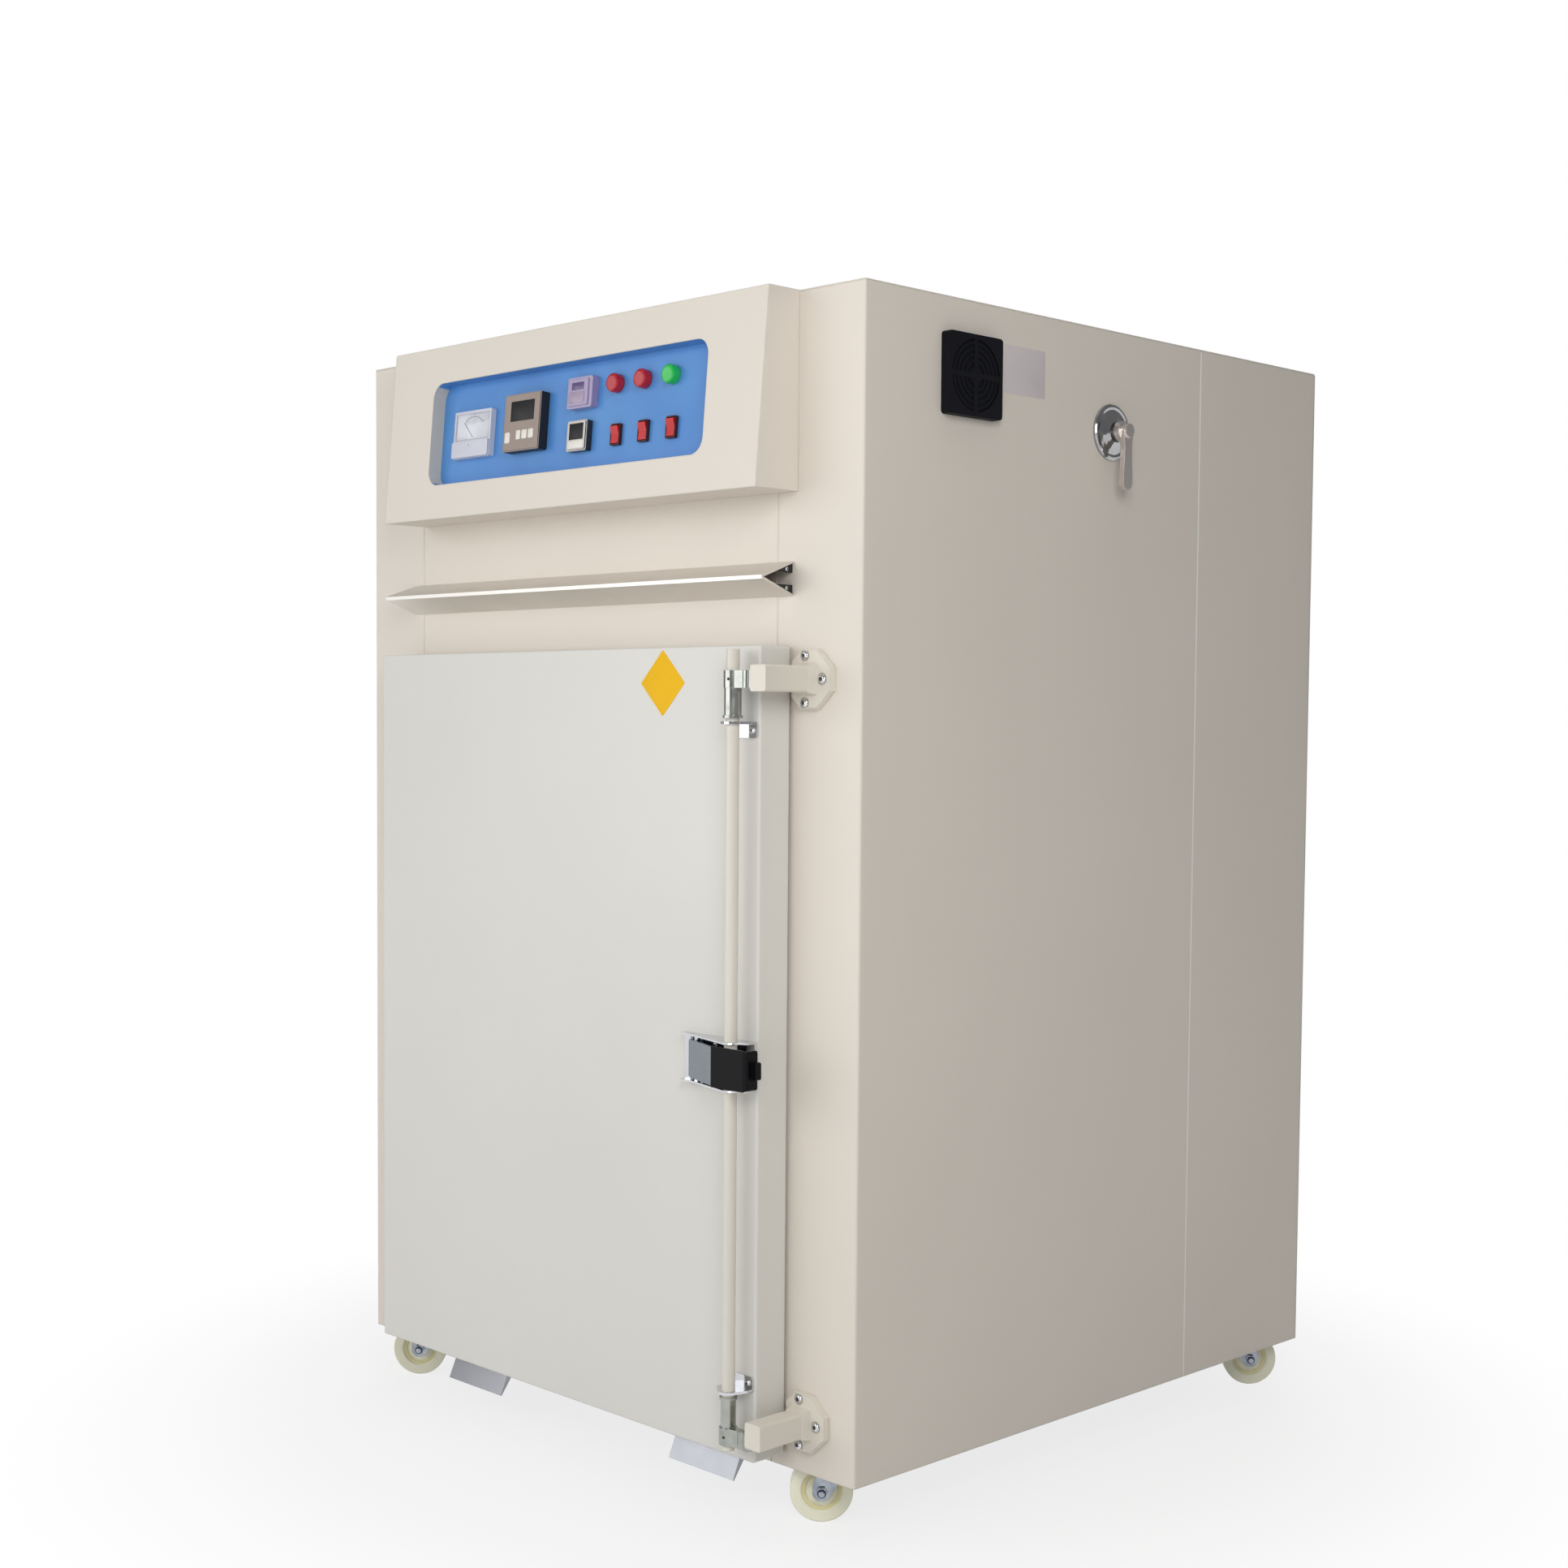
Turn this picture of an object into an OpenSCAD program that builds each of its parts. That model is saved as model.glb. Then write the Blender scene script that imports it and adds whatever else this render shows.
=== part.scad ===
// Large laboratory convection oven on four swivel casters, with a single door, a rod lock
// with two keepers, a sloping control hood and an exhaust damper on the right side.
// Millimetres, +Z up, the front faces -Y. The floor is at z = 0.

/* [Cabinet] */
// Width of the cabinet
cab_w = 1236; // [1100:1:1400]
// Depth of the cabinet
cab_d = 1172; // [1100:1:1300]
// Height of the cabinet without its casters
cab_h = 1760; // [1700:1:1900]
// Height of the cabinet's lower edge above the floor
ride = 86; // [84:1:92]
// Thickness of the insulated panels
panel_t = 45; // [40:1:60]
// Thickness of the folded steel skin
skin_t = 2; // [1.5:0.1:3]
// Radius of the folded edges
fold_r = 4; // [2:0.5:6]
// Distance of the side seam from the front
seam_from_front = 821; // [780:1:850]
// Width of the seams between panels
seam_gap = 1.5; // [1:0.1:3]

/* [Chamber and doorway] */
// Clear width of the chamber
chamber_w = 800; // [700:1:820]
// Clear height of the chamber
chamber_h = 1040; // [900:1:1050]
// Clear depth of the chamber
chamber_d = 800; // [700:1:850]
// Height of the chamber's floor above the cabinet's lower edge
chamber_floor = 110; // [100:1:120]
// Offset of the chamber and the door from the cabinet's middle
door_shift = -11; // [-20:1:20]
// Thickness of the liner walls
liner_t = 40; // [30:1:60]
// Width of the steel border round the doorway
border_w = 54; // [40:1:56]

/* [Door] */
// Width of the door
door_w = 974; // [940:1:980]
// Height of the door
door_h = 1218; // [1190:1:1230]
// Thickness of the door
door_t = 60; // [50:1:70]
// Gap between the door and the frame, filled by the gasket
door_gap = 6; // [5:0.5:8]
// Height of the door's lower edge above the cabinet's lower edge
door_low = 20; // [15:1:30]
// How far the inner panel reaches into the doorway
plug_t = 22; // [15:1:30]

/* [Lock] */
// Diameter of the lock rod
rod_d = 20; // [16:1:22]
// Distance of the rod from the door's face to its middle
rod_out = 26; // [24:1:28]
// Distance of the rod from the door's right edge
rod_in = 31; // [28:1:36]
// Height of the handle above the cabinet's lower edge
handle_mid = 616; // [560:1:680]
// Height of the lever strap
lever_h = 58; // [50:1:62]

/* [Hood] */
// Width of the control hood
hood_w = 942; // [900:1:960]
// Height of the control hood
hood_h = 294; // [270:1:310]
// Depth of the hood at its top
hood_top_d = 63; // [55:1:75]
// Depth of the hood at its bottom
hood_low_d = 88; // [80:1:100]
// Depth of the window recess
window_deep = 25; // [20:1:30]

/* [Casters] */
// Diameter of a wheel
wheel_d = 96; // [90:1:100]
// Width of a wheel
wheel_w = 30; // [24:1:32]
// Distance of the axle from the swivel
trail = 34; // [30:1:36]
// Distance of a swivel from the cabinet's side
caster_in_x = 93; // [90:1:120]
// Distance of a swivel from the cabinet's front or back
caster_in_y = 75; // [74:1:120]
// Height of a whole caster
caster_h = 126; // [124:1:130]

/* [Hidden] */
$fn = 48;

cream = [0.88, 0.86, 0.80];
door_cream = [0.86, 0.85, 0.82];
steel = [0.75, 0.76, 0.77];
chrome = [0.85, 0.86, 0.88];
black = [0.08, 0.08, 0.09];
blue = [0.22, 0.46, 0.76];
nylon = [0.90, 0.90, 0.80];

left_x = -cab_w / 2;
right_x = cab_w / 2;
front_y = -cab_d / 2;
back_y = cab_d / 2;
low_z = ride;
top_z = ride + cab_h;
recess = caster_h - ride;
pan_z = low_z + recess;

chamber_l = door_shift - chamber_w / 2;
chamber_r = door_shift + chamber_w / 2;
chamber_low = low_z + chamber_floor;
chamber_top = chamber_low + chamber_h;
frame_back = front_y + panel_t;
chamber_back_y = frame_back + chamber_d;
hole_l = chamber_l - border_w;
hole_r = chamber_r + border_w;
hole_low = chamber_low - border_w;
hole_top = chamber_top + border_w;
seam_y = front_y + seam_from_front;
wall_x = right_x - panel_t;
fascia_l = hole_l + seam_gap / 2;
fascia_r = hole_r - seam_gap / 2;

door_l = door_shift - door_w / 2;
door_r = door_shift + door_w / 2;
door_back_y = front_y - door_gap;
door_front_y = door_back_y - door_t;
door_low_z = low_z + door_low;
door_top_z = door_low_z + door_h;
plug_edge = 10;
gasket_out = 30;
gasket_in = 12;
hinge_out = 12;
hinge_x = door_l - hinge_out;
hinge_y = door_back_y - door_t / 2 + 3;
knuckle_r = 9;
hinge_pin_r = 5;
hinge_h = 120;
hinge_leaf_t = 5;
knuckle_h = hinge_h / 3 - 1;
hinge_heights = [door_low_z + 130, door_top_z - 130];

rod_x = door_r - rod_in;
rod_y = door_front_y - rod_out;
rod_low = low_z + 40;
rod_top = low_z + 1232;
guide_heights = [low_z + 126, low_z + 1122];
guide_t = 4;
guide_r = 16;
guide_reach = 22;
guide_flange = 24;
cam_heights = [low_z + 62, low_z + 1188];
cam_h = 26;
cam_reach = 49.5;
cam_collar_r = 14;
sleeve_ring = 4;
// Each sleeve: its lower end, its upper end, its radius and the place of its ring beside the guide
sleeves = [
    [low_z + 72, low_z + 121, 11.5, low_z + 117],
    [low_z + 1131, low_z + 1178, 13, low_z + 1131]
];
handle_z = low_z + handle_mid;
lever_pin_x = rod_x - 102;
lever_pin_y = door_front_y - 10;
lever_t = 3;
lever_bend_x = rod_x - 23;
lever_out = 45;
lever_front = door_front_y - lever_out;
lever_end_x = rod_x + 52;
lever_pin_r = 3;
lever_return = 20;
base_t = 3;
base_reach = 26;
ear_r = 15;
grip_t = 3;
grip_half = lever_h / 2 + 1.5;
grip_corner = 8;
grip_tab = 12;
ear_h = lever_h + 16;

keeper_x = door_r + 52;
keeper_arm_w = 33;
keeper_arm_h = 39;
keeper_arm_out = 110;
keeper_heights = [low_z + 79, low_z + 1189];
keeper_plate_h = 89;
keeper_plate_t = 10;
keeper_root_out = 26;
keeper_flare = 6;
keeper_edge = 2;
keeper_arm_l = -28;
bolt_seat_r = 9;
keeper_bolts = [[-17, 35], [19, 0], [-17, -35]];

hood_x = 14;
hood_l = hood_x - hood_w / 2;
hood_r = hood_x + hood_w / 2;
hood_low = top_z - hood_h;
hood_angle = atan((hood_low_d - hood_top_d) / hood_h);
window_l = -336;
window_r = 363;
window_top = 63;
window_low = 237;
window_radius = 26;
panel_edge = 14;
recess_wall = 3;

// Places on the hood's slope: left and right edge, then upper and lower edge down from the hood's top
meter_spot = [-290, -188, 113, 193];
meter_cover_spot = [-289, -189, 165, 192];
meter_window_spot = [-285, -193, 118, 162];
meter_out = 10;
controller_spot = [-141, -45, 100, 194];
controller_window_spot = [-123, -61, 112, 145];
controller_out = 18;
display_depth = 1.5;
timer_spot = [17, 79, 87, 137];
timer_face_spot = [22, 70, 91, 133];
timer_out = 15;
limit_spot = [21, 70, 156, 205];
limit_window_spot = [28, 63, 161, 187];
limit_out = 13;
lamp_x = [128, 194, 260];
lamp_s = 104;
rocker_x = [134, 200, 266];
rocker_s = 185;
rocker_half = 8.9;
rocker_end = 13.4;
rocker_gap_half = 9.6;
rocker_pin_out = 3.5;
rocker_pin_r = 1.5;
rocker_pin_half = 10.6;
rocker_frame_out = 6;
rocker_tilt = 8.5;

awning_l = -487;
awning_r = 477;
awning_mid = low_z + 1338;
awning_half = 26;
awning_d = 66;
awning_t = 2;
awning_edge = 3;
awning_inside = awning_half - awning_t;
awning_run = awning_d - 2 * awning_t + 1;
bracket_t = 3;
bracket_in = 9;
bracket_out = awning_run * (1 - bracket_in / awning_inside) - 1;

grille_y = -361;
grille_z = low_z + 1646;
grille_half = 61;
grille_corner = 6;
grille_bar = 8;
grille_hub = 13;
grille_t = 16;
grille_bore = 54;
grille_filter = 5;
grille_rings = [20, 29, 38, 47];
lip_xs = [-288, 303];
lip_w = 150;
lip_out = 19;
lip_drop = 42;
damper_y = -12;
damper_z = low_z + 1597;
damper_r = 45;
damper_out = 40;
damper_end = 82;
damper_hub = 19;
damper_bar = 28;
damper_bar_t = 9;
spindle_r = 8;

caster_xs = [left_x + caster_in_x, right_x - caster_in_x];
caster_ys = [front_y + caster_in_y, back_y - caster_in_y];
fork_leg_t = 3;
fork_gap = wheel_w / 2 + 8;
axle_r = 5;
axle_half = fork_gap + 9;
hub_half = wheel_w / 2 + 3;
hub_r = 13.5;
web_half = 8;
nut_t = 6;
nut_r = 9.5;
race_r = 26;
leg_r = 14.2;
plate_top_t = 4;
fork_top = caster_h - 11;

// The part's frame has its origin under the middle of its bounding box.
reach_right = right_x + damper_out;
reach_front = min(front_y - keeper_arm_out, lever_front - grip_t);
middle_x = (left_x + reach_right) / 2;
middle_y = (reach_front + back_y) / 2;

module placed() {
    translate([-middle_x, -middle_y, 0]) children();
}

// A block between two corners
module block(x0, x1, y0, y1, z0, z1) {
    translate([x0, y0, z0]) cube([x1 - x0, y1 - y0, z1 - z0]);
}

// A plate with rounded corners in the XZ plane, its front face at y
module rounded_plate(x0, x1, z0, z1, y, t, r) {
    translate([0, y + t, 0]) rotate([90, 0, 0]) linear_extrude(t) rounded_outline(x0, x1, z0, z1, r);
}

module rounded_outline(x0, x1, y0, y1, r) {
    union() {
        translate([x0 + r, y0]) square([x1 - x0 - 2 * r, y1 - y0]);
        translate([x0, y0 + r]) square([x1 - x0, y1 - y0 - 2 * r]);
        for (x = [x0 + r, x1 - r])
            for (y = [y0 + r, y1 - r])
                translate([x, y]) circle(r);
    }
}

// The outer shape of the cabinet, with its folded upright edges
module cabinet_outline() {
    linear_extrude(top_z + 1) rounded_outline(left_x, right_x, front_y, back_y, fold_r);
}

// A block on the left side (-1) or the right side (1), between two distances from the middle
module side_block(side, near_x, far_x, y0, y1, z0, z1) {
    block(min(side * near_x, side * far_x), max(side * near_x, side * far_x), y0, y1, z0, z1);
}

// An insulated side wall with the thin skirt below it
module side_wall(side, y0, y1) {
    side_block(side, wall_x, right_x, y0, y1, pan_z, top_z - skin_t);
    side_block(side, right_x - skin_t, right_x, y0, y1, low_z, pan_z + 1);
}

// A side panel whose skin folds round the front corner and ends at the seam beside the doorway
module folded_side_panel(side, seam_x) {
    intersection() {
        union() {
            side_wall(side, front_y, seam_y - seam_gap / 2);
            side_block(side, seam_x, right_x, front_y, front_y + skin_t, low_z, top_z - skin_t);
        }
        cabinet_outline();
    }
}

module left_side_panel() placed() color(cream) folded_side_panel(-1, seam_gap / 2 - hole_l);

module right_side_panel() placed() color(cream) folded_side_panel(1, hole_r + seam_gap / 2);

module left_rear_panel() placed() color(cream)
    union() side_wall(-1, seam_y + seam_gap / 2, back_y - skin_t);

module right_rear_panel() placed() color(cream)
    union() side_wall(1, seam_y + seam_gap / 2, back_y - skin_t);

module back_panel() placed() color(cream)
    union() {
        block(-wall_x, wall_x, back_y - panel_t, back_y - skin_t, pan_z, top_z - skin_t);
        block(left_x, right_x, back_y - skin_t, back_y, low_z, top_z - skin_t);
    }

module top_panel() placed() color(cream)
    union() {
        intersection() {
            block(left_x, right_x, front_y, back_y, top_z - skin_t, top_z);
            cabinet_outline();
        }
        block(-wall_x, wall_x, frame_back, back_y - panel_t, top_z - panel_t, top_z - skin_t);
    }

module base_pan() placed() color(steel)
    block(-wall_x, wall_x, frame_back, back_y - panel_t, pan_z, chamber_low - skin_t);

// The insulated posts beside the doorway, behind the folded skins
module left_stile() placed() color(cream)
    block(-wall_x, hole_l, front_y + skin_t, frame_back, pan_z, top_z - skin_t);

module right_stile() placed() color(cream)
    block(hole_r, wall_x, front_y + skin_t, frame_back, pan_z, top_z - skin_t);

module front_fascia() placed() color(cream)
    block(fascia_l, fascia_r, front_y, frame_back, hole_top, top_z - skin_t);

module front_sill() placed() color(cream)
    union() {
        block(fascia_l, fascia_r, front_y, frame_back, pan_z, hole_low);
        block(fascia_l, fascia_r, front_y, front_y + skin_t, low_z, pan_z + 1);
    }

module doorway_border() placed() color(steel)
    union() {
        block(hole_l, chamber_l, front_y, frame_back, hole_low, hole_top);
        block(chamber_r, hole_r, front_y, frame_back, hole_low, hole_top);
        block(chamber_l + 1, chamber_r - 1, front_y, frame_back, chamber_top, hole_top);
        block(chamber_l + 1, chamber_r - 1, front_y, frame_back, hole_low, chamber_low);
    }

module chamber_sides() placed() color(steel)
    union() {
        block(chamber_l - liner_t, chamber_l, frame_back, chamber_back_y, chamber_low - skin_t, chamber_top);
        block(chamber_r, chamber_r + liner_t, frame_back, chamber_back_y, chamber_low - skin_t, chamber_top);
    }

module chamber_back() placed() color(steel)
    block(chamber_l - liner_t, chamber_r + liner_t, chamber_back_y, chamber_back_y + liner_t,
        chamber_low - skin_t, chamber_top);

module chamber_ceiling() placed() color(steel)
    block(chamber_l - liner_t, chamber_r + liner_t, frame_back, chamber_back_y + liner_t,
        chamber_top, chamber_top + liner_t);

module chamber_floor_pan() placed() color(steel)
    block(chamber_l, chamber_r, frame_back, chamber_back_y, chamber_low - skin_t, chamber_low);

// The hood's side outline, as distances out from the front and heights
function hood_profile(inset) = [
    [0, hood_low + inset],
    [hood_low_d - (inset + inset * sin(hood_angle)) / cos(hood_angle), hood_low + inset],
    [hood_top_d - (inset - inset * sin(hood_angle)) / cos(hood_angle), top_z - inset],
    [0, top_z - inset]
];

// A solid along X whose outline is given as distances out from the front and heights
module along_x(x0, x1, outline) {
    translate([x0, 0, 0]) rotate([90, 0, 90]) linear_extrude(x1 - x0)
        polygon([for (p = outline) [front_y - p[0], p[1]]]);
}

// Local frame on the hood's sloping face: x along the hood, y out of the face, z up the slope
module on_slope() {
    translate([0, front_y - hood_top_d, top_z]) rotate([-hood_angle, 0, 0]) children();
}

module window_plate(grow, y, t) {
    rounded_plate(window_l - grow, window_r + grow, -window_low - grow, -window_top + grow, y, t,
        window_radius + grow);
}

module control_hood() placed() color(cream)
    difference() {
        along_x(hood_l, hood_r, hood_profile(0));
        along_x(hood_l + skin_t, hood_r - skin_t, [
            for (p = hood_profile(skin_t)) [p[0] == 0 ? -1 : p[0], p[1]]
        ]);
        on_slope() window_plate(0, -window_deep / 2, window_deep);
    }

// The blue panel at the bottom of the window recess, with the recess's thin side wall
module control_panel() placed() color(blue)
    on_slope() union() {
        block(window_l - panel_edge, window_r + panel_edge, window_deep, window_deep + skin_t,
            -window_low - panel_edge, -window_top + panel_edge);
        difference() {
            window_plate(recess_wall, skin_t, window_deep - skin_t);
            window_plate(0, -1, window_deep + 1);
        }
    }

// A box standing on the blue panel, at a place given by its four edges
module instrument_box(spot, out, r = 3) {
    rounded_plate(spot[0], spot[1], -spot[3], -spot[2], window_deep - out, out, r);
}

// A shallow display recess in the front of an instrument
module instrument_window(spot, out, depth) {
    block(spot[0], spot[1], window_deep - out - 1, window_deep - out + depth, -spot[3], -spot[2]);
}

function within(spot, edge) = [spot[0] + edge, spot[1] - edge, spot[2] + edge, spot[3] - edge];

// A panel meter: a scale behind its window above a stepped lower cover
module ammeter() placed() color([0.8, 0.82, 0.85])
    on_slope() difference() {
        union() {
            instrument_box(meter_spot, meter_out);
            instrument_box(meter_cover_spot, meter_out + 4);
        }
        instrument_window(meter_window_spot, meter_out, 3);
    }

module temperature_controller() placed() color([0.2, 0.19, 0.19])
    on_slope() difference() {
        union() {
            instrument_box(controller_spot, controller_out - 1);
            instrument_box(within(controller_spot, 2), controller_out, 2);
        }
        instrument_window(controller_window_spot, controller_out, display_depth);
    }

module timer() placed() color([0.55, 0.48, 0.68])
    on_slope() union() {
        instrument_box(timer_spot, timer_out - 2, 4);
        instrument_box(timer_face_spot, timer_out);
    }

module limit_controller() placed() color([0.75, 0.76, 0.78])
    on_slope() difference() {
        union() {
            instrument_box(limit_spot, limit_out - 2);
            instrument_box(within(limit_spot, 2), limit_out);
        }
        instrument_window(limit_window_spot, limit_out, display_depth);
    }

// A lamp's lens: a short drum with a domed rim and a flat front
module lamp_lens(x) {
    on_slope() translate([x, window_deep, -lamp_s]) rotate([90, 0, 0]) rotate_extrude() polygon([
        [0, 0], [14.5, 0], [15, 2], [15, 11], [14, 14], [12, 15.6], [9.5, 16], [0, 16]
    ]);
}

module red_lamps() placed() color([0.8, 0.1, 0.1])
    for (i = [0, 1])
        lamp_lens(lamp_x[i]);

module green_lamp() placed() color([0.1, 0.7, 0.3])
    union() lamp_lens(lamp_x[2]);

module switch_frames() placed() color(black)
    on_slope() for (x = rocker_x)
        difference() {
            instrument_box([x - 11, x + 11, rocker_s - 17, rocker_s + 17], rocker_frame_out, 2);
            block(x - rocker_gap_half, x + rocker_gap_half, window_deep - 10, window_deep - 0.5,
                -rocker_s - 14.8, -rocker_s + 14.8);
            translate([x, window_deep - rocker_pin_out, -rocker_s]) rotate([0, 90, 0])
                cylinder(h = 2 * rocker_pin_half + 0.4, r = rocker_pin_r + 0.05, center = true);
        }

// A rocker key, tilted about its cross pin so that its upper end stands out
module rocker(i) {
    on_slope() translate([rocker_x[i], window_deep - rocker_pin_out, -rocker_s])
        rotate([rocker_tilt, 0, 0]) union() {
            translate([-rocker_half, 0, 0]) rotate([90, 0, 90]) linear_extrude(2 * rocker_half)
                polygon([
                    [-4.5, -rocker_end], [-2, 0], [-4.5, rocker_end], [0, rocker_end],
                    [2, 3], [2, -3], [0, -rocker_end]
                ]);
            rotate([0, 90, 0]) cylinder(h = 2 * rocker_pin_half, r = rocker_pin_r, center = true);
        }
}

module rocker_1() placed() color("red") rocker(0);
module rocker_2() placed() color("red") rocker(1);
module rocker_3() placed() color("red") rocker(2);

module heat_deflector() placed() color(steel)
    difference() {
        along_x(awning_l, awning_r, [
            [0, awning_mid - awning_half], [awning_d, awning_mid - awning_edge],
            [awning_d, awning_mid + awning_edge], [0, awning_mid + awning_half]
        ]);
        along_x(awning_l - 1, awning_r + 1, [
            [-1, awning_mid - awning_inside], [awning_run - 1, awning_mid], [-1, awning_mid + awning_inside]
        ]);
    }

// Two gussets at each end of the deflector, one under its upper sheet and one over its lower sheet
module deflector_brackets() placed() color(black)
    for (x = [awning_l + bracket_t, awning_r - 2 * bracket_t])
        for (side = [-1, 1])
            along_x(x, x + bracket_t, [
                [0, awning_mid + side * bracket_in],
                [0, awning_mid + side * awning_inside * (1 - 1 / awning_run)],
                [bracket_out, awning_mid + side * bracket_in]
            ]);

// A keeper: an eight-sided plate with seats for its bolts, and an arm with a flared root
module keeper(z) {
    translate([keeper_x, front_y, z]) difference() {
        union() {
            rotate([90, 0, 0]) linear_extrude(keeper_plate_t - keeper_edge) polygon(keeper_outline(1));
            rotate([90, 0, 0]) linear_extrude(keeper_plate_t)
                polygon(keeper_outline(1 - 2 * keeper_edge / keeper_plate_h));
            keeper_root();
            rounded_plate(keeper_arm_l, keeper_arm_l + keeper_arm_w, -keeper_arm_h / 2, keeper_arm_h / 2,
                -keeper_arm_out, keeper_arm_out, fold_r);
        }
        for (spot = keeper_bolts)
            translate([spot[0], -keeper_plate_t + keeper_edge, spot[1]]) rotate([90, 0, 0])
                cylinder(h = keeper_plate_t, r = bolt_seat_r);
    }
}

// The root of the arm, drawn in from both sides
module keeper_root() {
    flare_w = keeper_arm_w / 2 + keeper_flare;
    flare_h = keeper_arm_h / 2 + keeper_flare;
    translate([keeper_arm_l + keeper_arm_w / 2, 0, 0]) intersection() {
        translate([0, 0, -flare_h]) linear_extrude(2 * flare_h) polygon([
            [-flare_w, 0], [flare_w, 0],
            [keeper_arm_w / 2, -keeper_root_out], [-keeper_arm_w / 2, -keeper_root_out]
        ]);
        translate([-flare_w, 0, 0]) rotate([90, 0, 90]) linear_extrude(2 * flare_w) polygon([
            [0, -flare_h], [0, flare_h],
            [-keeper_root_out, keeper_arm_h / 2], [-keeper_root_out, -keeper_arm_h / 2]
        ]);
    }
}

function keeper_outline(share) = share * [
    [-46, -27], [-27, -keeper_plate_h / 2], [8, -keeper_plate_h / 2], [38, -17],
    [38, 17], [8, keeper_plate_h / 2], [-27, keeper_plate_h / 2], [-46, 27]
];

module keepers() placed() color(cream)
    for (z = keeper_heights)
        keeper(z);

// The fan guard: a square frame round a bore, with rings, a cross of bars and a hub before the filter
module fan_grille() placed() color(black)
    translate([right_x, grille_y, grille_z]) rotate([0, 90, 0]) union() {
        difference() {
            linear_extrude(grille_t)
                rounded_outline(-grille_half, grille_half, -grille_half, grille_half, grille_corner);
            translate([0, 0, grille_filter]) cylinder(h = grille_t, r = grille_bore);
        }
        for (r = grille_rings)
            translate([0, 0, grille_t - 5]) rotate_extrude() translate([r, 0]) square([3.5, 4]);
        for (turn = [0, 90])
            rotate([0, 0, turn]) translate([-grille_bore - 1, -grille_bar / 2, grille_t - 4.5])
                cube([2 * grille_bore + 2, grille_bar, 4]);
        translate([0, 0, grille_filter - 1]) cylinder(h = grille_t - grille_filter, r = grille_hub);
    }

// A shallow dished plate round the damper's spindle, with a rolled rim
module damper_escutcheon() placed() color(chrome)
    translate([right_x, damper_y, damper_z]) rotate([0, 90, 0]) rotate_extrude() polygon([
        [spindle_r + 0.1, 0], [damper_r, 0], [damper_r, 4], [damper_r - 2, 6], [damper_r - 5, 6.5],
        [damper_r - 9, 5.5], [damper_r - 16, 7], [22, 10], [17, 13], [spindle_r + 0.1, 13]
    ]);

// The damper's lever: a spindle and a stepped hub, then a flat bar with a round end that hangs
module damper_lever() placed() color(chrome)
    translate([right_x, damper_y, damper_z]) rotate([0, 90, 0]) union() {
        translate([0, 0, 1]) cylinder(h = damper_hub, r = spindle_r);
        translate([0, 0, damper_hub]) cylinder(h = damper_bar - damper_hub + 1, r = 16);
        translate([0, 0, damper_hub]) cylinder(h = damper_out - damper_hub, r = 11);
        translate([0, 0, damper_bar]) linear_extrude(damper_bar_t) union() {
            polygon([[0, -12], [30, -9], [damper_end, -12], [damper_end, 12], [30, 9], [0, 12]]);
            translate([damper_end, 0]) circle(12);
        }
    }

// Two folded lips below the front edge, each with a gusset at its ends
module bottom_lips() placed() color(steel)
    for (x = lip_xs) {
        along_x(x - lip_w / 2, x + lip_w / 2, [
            [-14, low_z], [1, low_z], [lip_out, low_z - lip_drop], [lip_out - skin_t, low_z - lip_drop - 1],
            [-1, low_z - skin_t], [-14, low_z - skin_t]
        ]);
        for (end = [x - lip_w / 2, x + lip_w / 2 - skin_t])
            along_x(end, end + skin_t, [
                [-14, low_z], [1, low_z],
                [lip_out, low_z - lip_drop], [lip_out - skin_t, low_z - lip_drop - 1]
            ]);
    }

// The frame's half of each hinge: a leaf and its upper and lower knuckles
module hinge_frame_leaves() placed() color(door_cream)
    for (z = hinge_heights) {
        block(hinge_x - 52, hinge_x + 6, front_y - hinge_leaf_t, front_y, z - hinge_h / 2, z + hinge_h / 2);
        for (low = [z - hinge_h / 2, z + hinge_h / 6])
            translate([hinge_x, hinge_y, low]) difference() {
                union() {
                    cylinder(h = knuckle_h, r = knuckle_r);
                    translate([-knuckle_r, 0, 0]) cube([knuckle_r - 1, front_y - hinge_y, knuckle_h]);
                }
                translate([0, 0, -1]) cylinder(h = hinge_h, r = hinge_pin_r + 0.05);
            }
    }

// The door's half of each hinge: its knuckle, the pin and a leaf to the door's edge
module hinge_door_leaves() placed() color(door_cream)
    for (z = hinge_heights) {
        low = z - hinge_h / 6 + 0.5;
        translate([hinge_x, hinge_y, low]) cylinder(h = knuckle_h - 1, r = knuckle_r);
        translate([hinge_x, hinge_y, z - hinge_h / 2]) cylinder(h = hinge_h, r = hinge_pin_r);
        block(hinge_x, door_l, hinge_y - 3, hinge_y + 3, low, low + knuckle_h - 1);
    }

module door_panel() placed() color(door_cream)
    intersection() {
        block(door_l, door_r, door_front_y, door_back_y, door_low_z, door_top_z);
        rounded_plate(door_l, door_r, door_low_z, door_top_z, door_front_y, door_t, fold_r);
        linear_extrude(top_z) rounded_outline(door_l, door_r, door_front_y, door_back_y + 20, fold_r);
    }

module door_inner_panel() placed() color(steel)
    around_chamber(-plug_edge, door_back_y, front_y + plug_t);

// A block as large as the chamber's opening, grown on its four edges
module around_chamber(grow, y0, y1) {
    block(chamber_l - grow, chamber_r + grow, y0, y1, chamber_low - grow, chamber_top + grow);
}

module door_gasket() placed() color([0.75, 0.3, 0.2])
    difference() {
        around_chamber(gasket_out, door_back_y, front_y - 0.5);
        around_chamber(gasket_in, door_back_y - 1, front_y);
    }

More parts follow.
